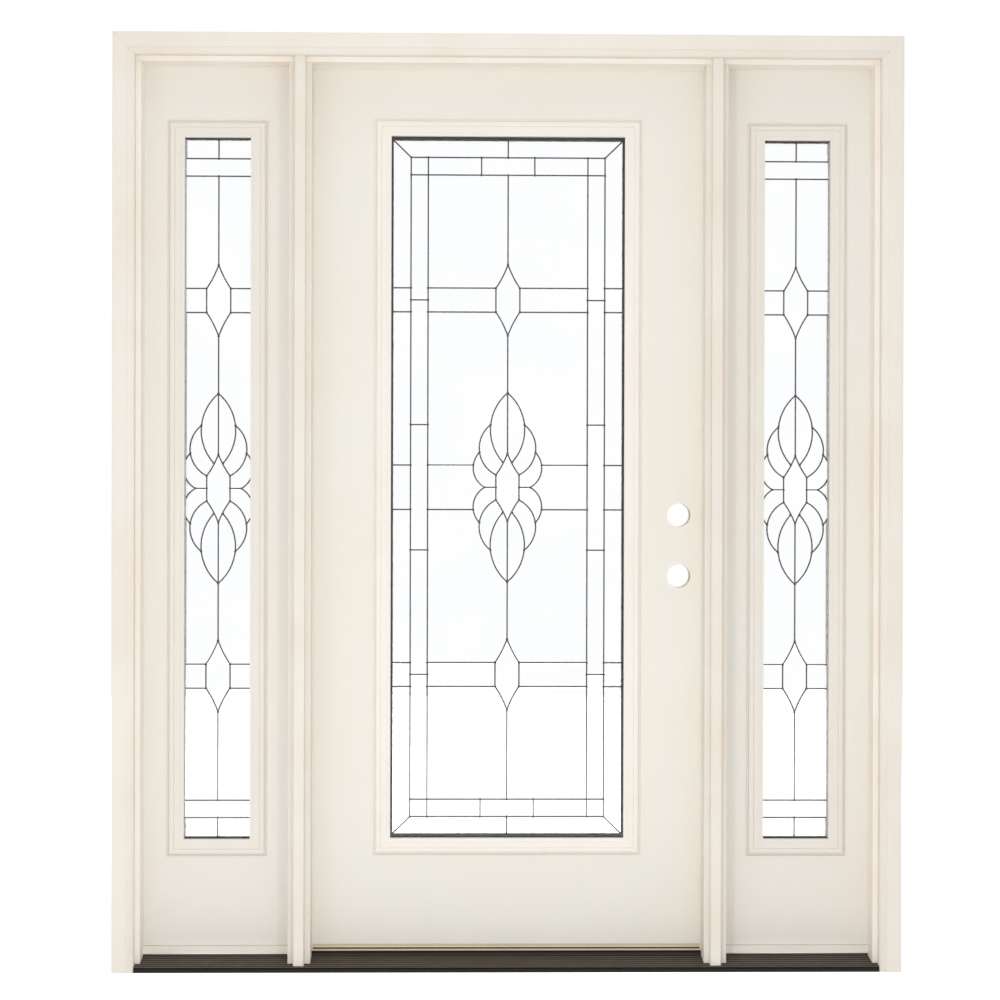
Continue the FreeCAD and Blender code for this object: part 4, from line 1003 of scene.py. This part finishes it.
def make_plugs(node_name, name, body):
    """Caps over the screws of an inside lite frame."""
    low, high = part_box(node_name)
    places = []
    for number in range(PLUGS_A_SIDE):
        up = low.z + PLUG_INSET + (high.z - low.z - 2 * PLUG_INSET) * (number + 0.5) / PLUGS_A_SIDE
        places += [(low.x + PLUG_INSET, up), (high.x - PLUG_INSET, up)]
    across = 2 if high.x - low.x > WIDE_FRAME else 1
    for number in range(across):
        x = low.x + (high.x - low.x) * (number + 0.5) / across
        places += [(x, low.z + PLUG_INSET), (x, high.z - PLUG_INSET)]
    level = high.y - PLUG_SEAT
    profile = [(PLUG_RADIUS * share, along) for share, along in PLUG_PROFILE]
    mesh = bmesh.new()
    for x, z in places:
        turned(mesh, lambda u, v, along: Vector((x + u, level - along, z + v)), profile,
               segments=20)
    bmesh.ops.recalc_face_normals(mesh, faces=mesh.faces)
    add_piece(name, mesh, body, [lite_vinyl])


make_plugs("door_lite_frame_inside", "door_lite_plugs", "door")
for side in ("left", "right"):
    make_plugs(f"sidelight_lite_frame_inside_{side}", f"sidelight_lite_plugs_{side}", "frame")


def make_cap_screws():
    """The screws that raise or lower the threshold cap."""
    low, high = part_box("sill_cap")
    y = (low.y + high.y) / 2
    level = high.z - CAP_SCREW_SINK
    mesh = bmesh.new()
    for share in CAP_SCREW_PLACES:
        x = low.x + (high.x - low.x) * share
        screw_head(mesh, lambda u, v, along: Vector((x + u, y + v, level + along)),
                   CAP_SCREW_RADIUS)
    bmesh.ops.recalc_face_normals(mesh, faces=mesh.faces)
    add_piece("cap_screws", mesh, "frame", [screw_steel])


make_cap_screws()


# Foot of the sidelights
UPSTAND_DEPTH = 0.0016
UPSTAND_FOOT = 0.0208
UPSTAND_TOP = 0.0264
BEAD = ((0.0, 0.0), (0.0, -0.0016), (0.0008, -0.0015), (0.0015, -0.0011), (0.0020, -0.0005),
        (0.0022, 0.0))
STOP_EDGES = (0.4954, 0.8269)


def make_sidelight_feet():
    """The sill's dark upstand before each sidelight's filler, with a bead of sealant on it."""
    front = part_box("sidelight_base_left")[0].y
    for side, turn in (("left", -1), ("right", 1)):
        first, last = sorted(turn * edge for edge in STOP_EDGES)
        mesh = bmesh.new()
        bevelled_plate(mesh, (first, front - UPSTAND_DEPTH, UPSTAND_FOOT),
                       (last, front, UPSTAND_TOP), width=0.0003)
        add_piece(f"sill_upstand_{side}", mesh, "frame", [upstand_metal])
        mesh = bmesh.new()
        sweep(mesh, [(first, UPSTAND_TOP), (last, UPSTAND_TOP)], BEAD,
              lambda point, depth: Vector((point[0], front + depth, point[1])))
        bmesh.ops.recalc_face_normals(mesh, faces=mesh.faces)
        add_piece(f"sealant_bead_{side}", mesh, "frame", [sealant])


make_sidelight_feet()


# Camera
CAMERA_PLACE = Vector((-0.1294, -5.3256, 1.0875))
CAMERA_YAW = math.radians(1.189)
CAMERA_PITCH = math.radians(0.280)
CAMERA_ROLL = math.radians(0.146)
CAMERA_LENS = 85.02
CAMERA_SENSOR = 36
CAMERA_REACH = 60


def make_camera():
    """The camera, as fitted to the photo: yaw to the right, pitch down, then roll."""
    data = bpy.data.cameras.new("Camera")
    data.lens = CAMERA_LENS
    data.sensor_width = CAMERA_SENSOR
    data.clip_end = CAMERA_REACH
    camera = add_object("Camera", data)
    forward = Vector((math.sin(CAMERA_YAW) * math.cos(CAMERA_PITCH),
                      math.cos(CAMERA_YAW) * math.cos(CAMERA_PITCH), -math.sin(CAMERA_PITCH)))
    right = Vector((math.cos(CAMERA_YAW), -math.sin(CAMERA_YAW), 0))
    up = right.cross(forward)
    turned_right = right * math.cos(CAMERA_ROLL) + up * math.sin(CAMERA_ROLL)
    turned_up = up * math.cos(CAMERA_ROLL) - right * math.sin(CAMERA_ROLL)
    axes = Matrix((turned_right, turned_up, -forward)).transposed()
    camera.matrix_world = Matrix.Translation(CAMERA_PLACE) @ axes.to_4x4()
    scene.camera = camera


# Stage and light: sides or heights with their powers, in metres and watts
AMBIENT = 0.695
FLOOR_HALF = 7.0
FLOOR_GLOW = 1.0
LAMP_AIM = (0, 0, 1.05)
SIDE_LIGHTS = ((-1, 10.0), (1, 3.0))
STRIP_LIGHTS = ((-1, 8.3), (1, 6.142))
BAND_LIGHTS = (("foot_light", 0.3, 1.6), ("head_light", 1.9, 0.8))
BACK_LIGHT = 40.0
TOP_LIGHT = 7.5


def seen_ray(tree):
    """A socket: 1 for rays from the camera, straight or by way of glass or metal, and else 0."""
    path = tree.nodes.new("ShaderNodeLightPath")
    socket = path.outputs["Is Camera Ray"]
    for name in ("Is Glossy Ray", "Is Transmission Ray"):
        larger = tree.nodes.new("ShaderNodeMath")
        larger.operation = "MAXIMUM"
        tree.links.new(socket, larger.inputs[0])
        tree.links.new(path.outputs[name], larger.inputs[1])
        socket = larger.outputs["Value"]
    return socket


def make_world():
    """White where it is seen, directly or in glass and metal, and an even grey as a light."""
    world = bpy.data.worlds.new("Studio")
    world.use_nodes = True
    scene.world = world
    tree = world.node_tree
    light = tree.nodes["Background"]
    light.inputs["Color"].default_value = (1, 1, 1, 1)
    light.inputs["Strength"].default_value = AMBIENT
    seen = tree.nodes.new("ShaderNodeBackground")
    seen.inputs["Color"].default_value = (1, 1, 1, 1)
    seen.inputs["Strength"].default_value = 1.0
    mix = tree.nodes.new("ShaderNodeMixShader")
    tree.links.new(seen_ray(tree), mix.inputs["Fac"])
    tree.links.new(light.outputs["Background"], mix.inputs[1])
    tree.links.new(seen.outputs["Background"], mix.inputs[2])
    tree.links.new(mix.outputs["Shader"], tree.nodes["World Output"].inputs["Surface"])


def make_floor():
    """A plain pale floor, which reads as white and keeps the shadow that falls on it."""
    mesh = bmesh.new()
    mesh.faces.new([mesh.verts.new((x * FLOOR_HALF, y * FLOOR_HALF, 0))
                    for x, y in ((-1, -1), (1, -1), (1, 1), (-1, 1))])
    data = bpy.data.meshes.new("floor")
    mesh.to_mesh(data)
    mesh.free()
    floor = add_object("floor", data)
    surface = Surface("floor", 0.9, Specular_IOR_Level=0.0)
    surface.colour(surface.mixed(surface.noise(0.8), (0.86, 0.86, 0.86, 1), (0.88, 0.88, 0.88, 1)))
    glow = surface.node("ShaderNodeEmission")
    shining = surface.combined("MULTIPLY", seen_ray(surface.tree), FLOOR_GLOW)
    surface.link(shining, glow.inputs["Strength"])
    both = surface.node("ShaderNodeAddShader")
    surface.link(surface.shader.outputs["BSDF"], both.inputs[0])
    surface.link(glow.outputs["Emission"], both.inputs[1])
    surface.link(both.outputs["Shader"], surface.output.inputs["Surface"])
    data.materials.append(surface.material)


def make_lamp(name, place, target, size, power, in_gloss=True):
    """A soft lamp; one that isn't in gloss lights the part but doesn't show in its glass."""
    data = bpy.data.lights.new(name, "AREA")
    data.shape = "RECTANGLE"
    data.size, data.size_y = size
    data.energy = power
    lamp = add_object(name, data)
    lamp.location = place
    way = Vector(target) - Vector(place)
    lamp.rotation_euler = way.to_track_quat("-Z", "Z").to_euler()
    lamp.visible_camera = False
    lamp.visible_glossy = in_gloss
    lamp.visible_transmission = in_gloss


make_camera()
make_world()
make_floor()
for across, power in SIDE_LIGHTS:
    make_lamp(f"side_light_{across}", place=(across * 3.0, -3.7, 1.35), target=LAMP_AIM,
              size=(1.5, 2.6), power=power)
make_lamp("back_light", place=(0.3, 4.4, 1.7), target=LAMP_AIM, size=(3.2, 2.4), power=BACK_LIGHT,
          in_gloss=False)
for across, power in STRIP_LIGHTS:
    make_lamp(f"strip_light_{across}", place=(across * 0.5, -2.4, 1.15),
              target=(across * 0.5, 0, 1.15), size=(0.12, 2.3), power=power, in_gloss=False)
for name, level, power in BAND_LIGHTS:
    make_lamp(name, place=(-0.15, -1.1, level), target=(-0.15, 0, level), size=(2.0, 0.3),
              power=power, in_gloss=False)
make_lamp("top_light", place=(0, -1.2, 4.2), target=(0, 0.4, 0.5), size=(3.0, 2.0),
          power=TOP_LIGHT)

scene.view_settings.view_transform = "Standard"
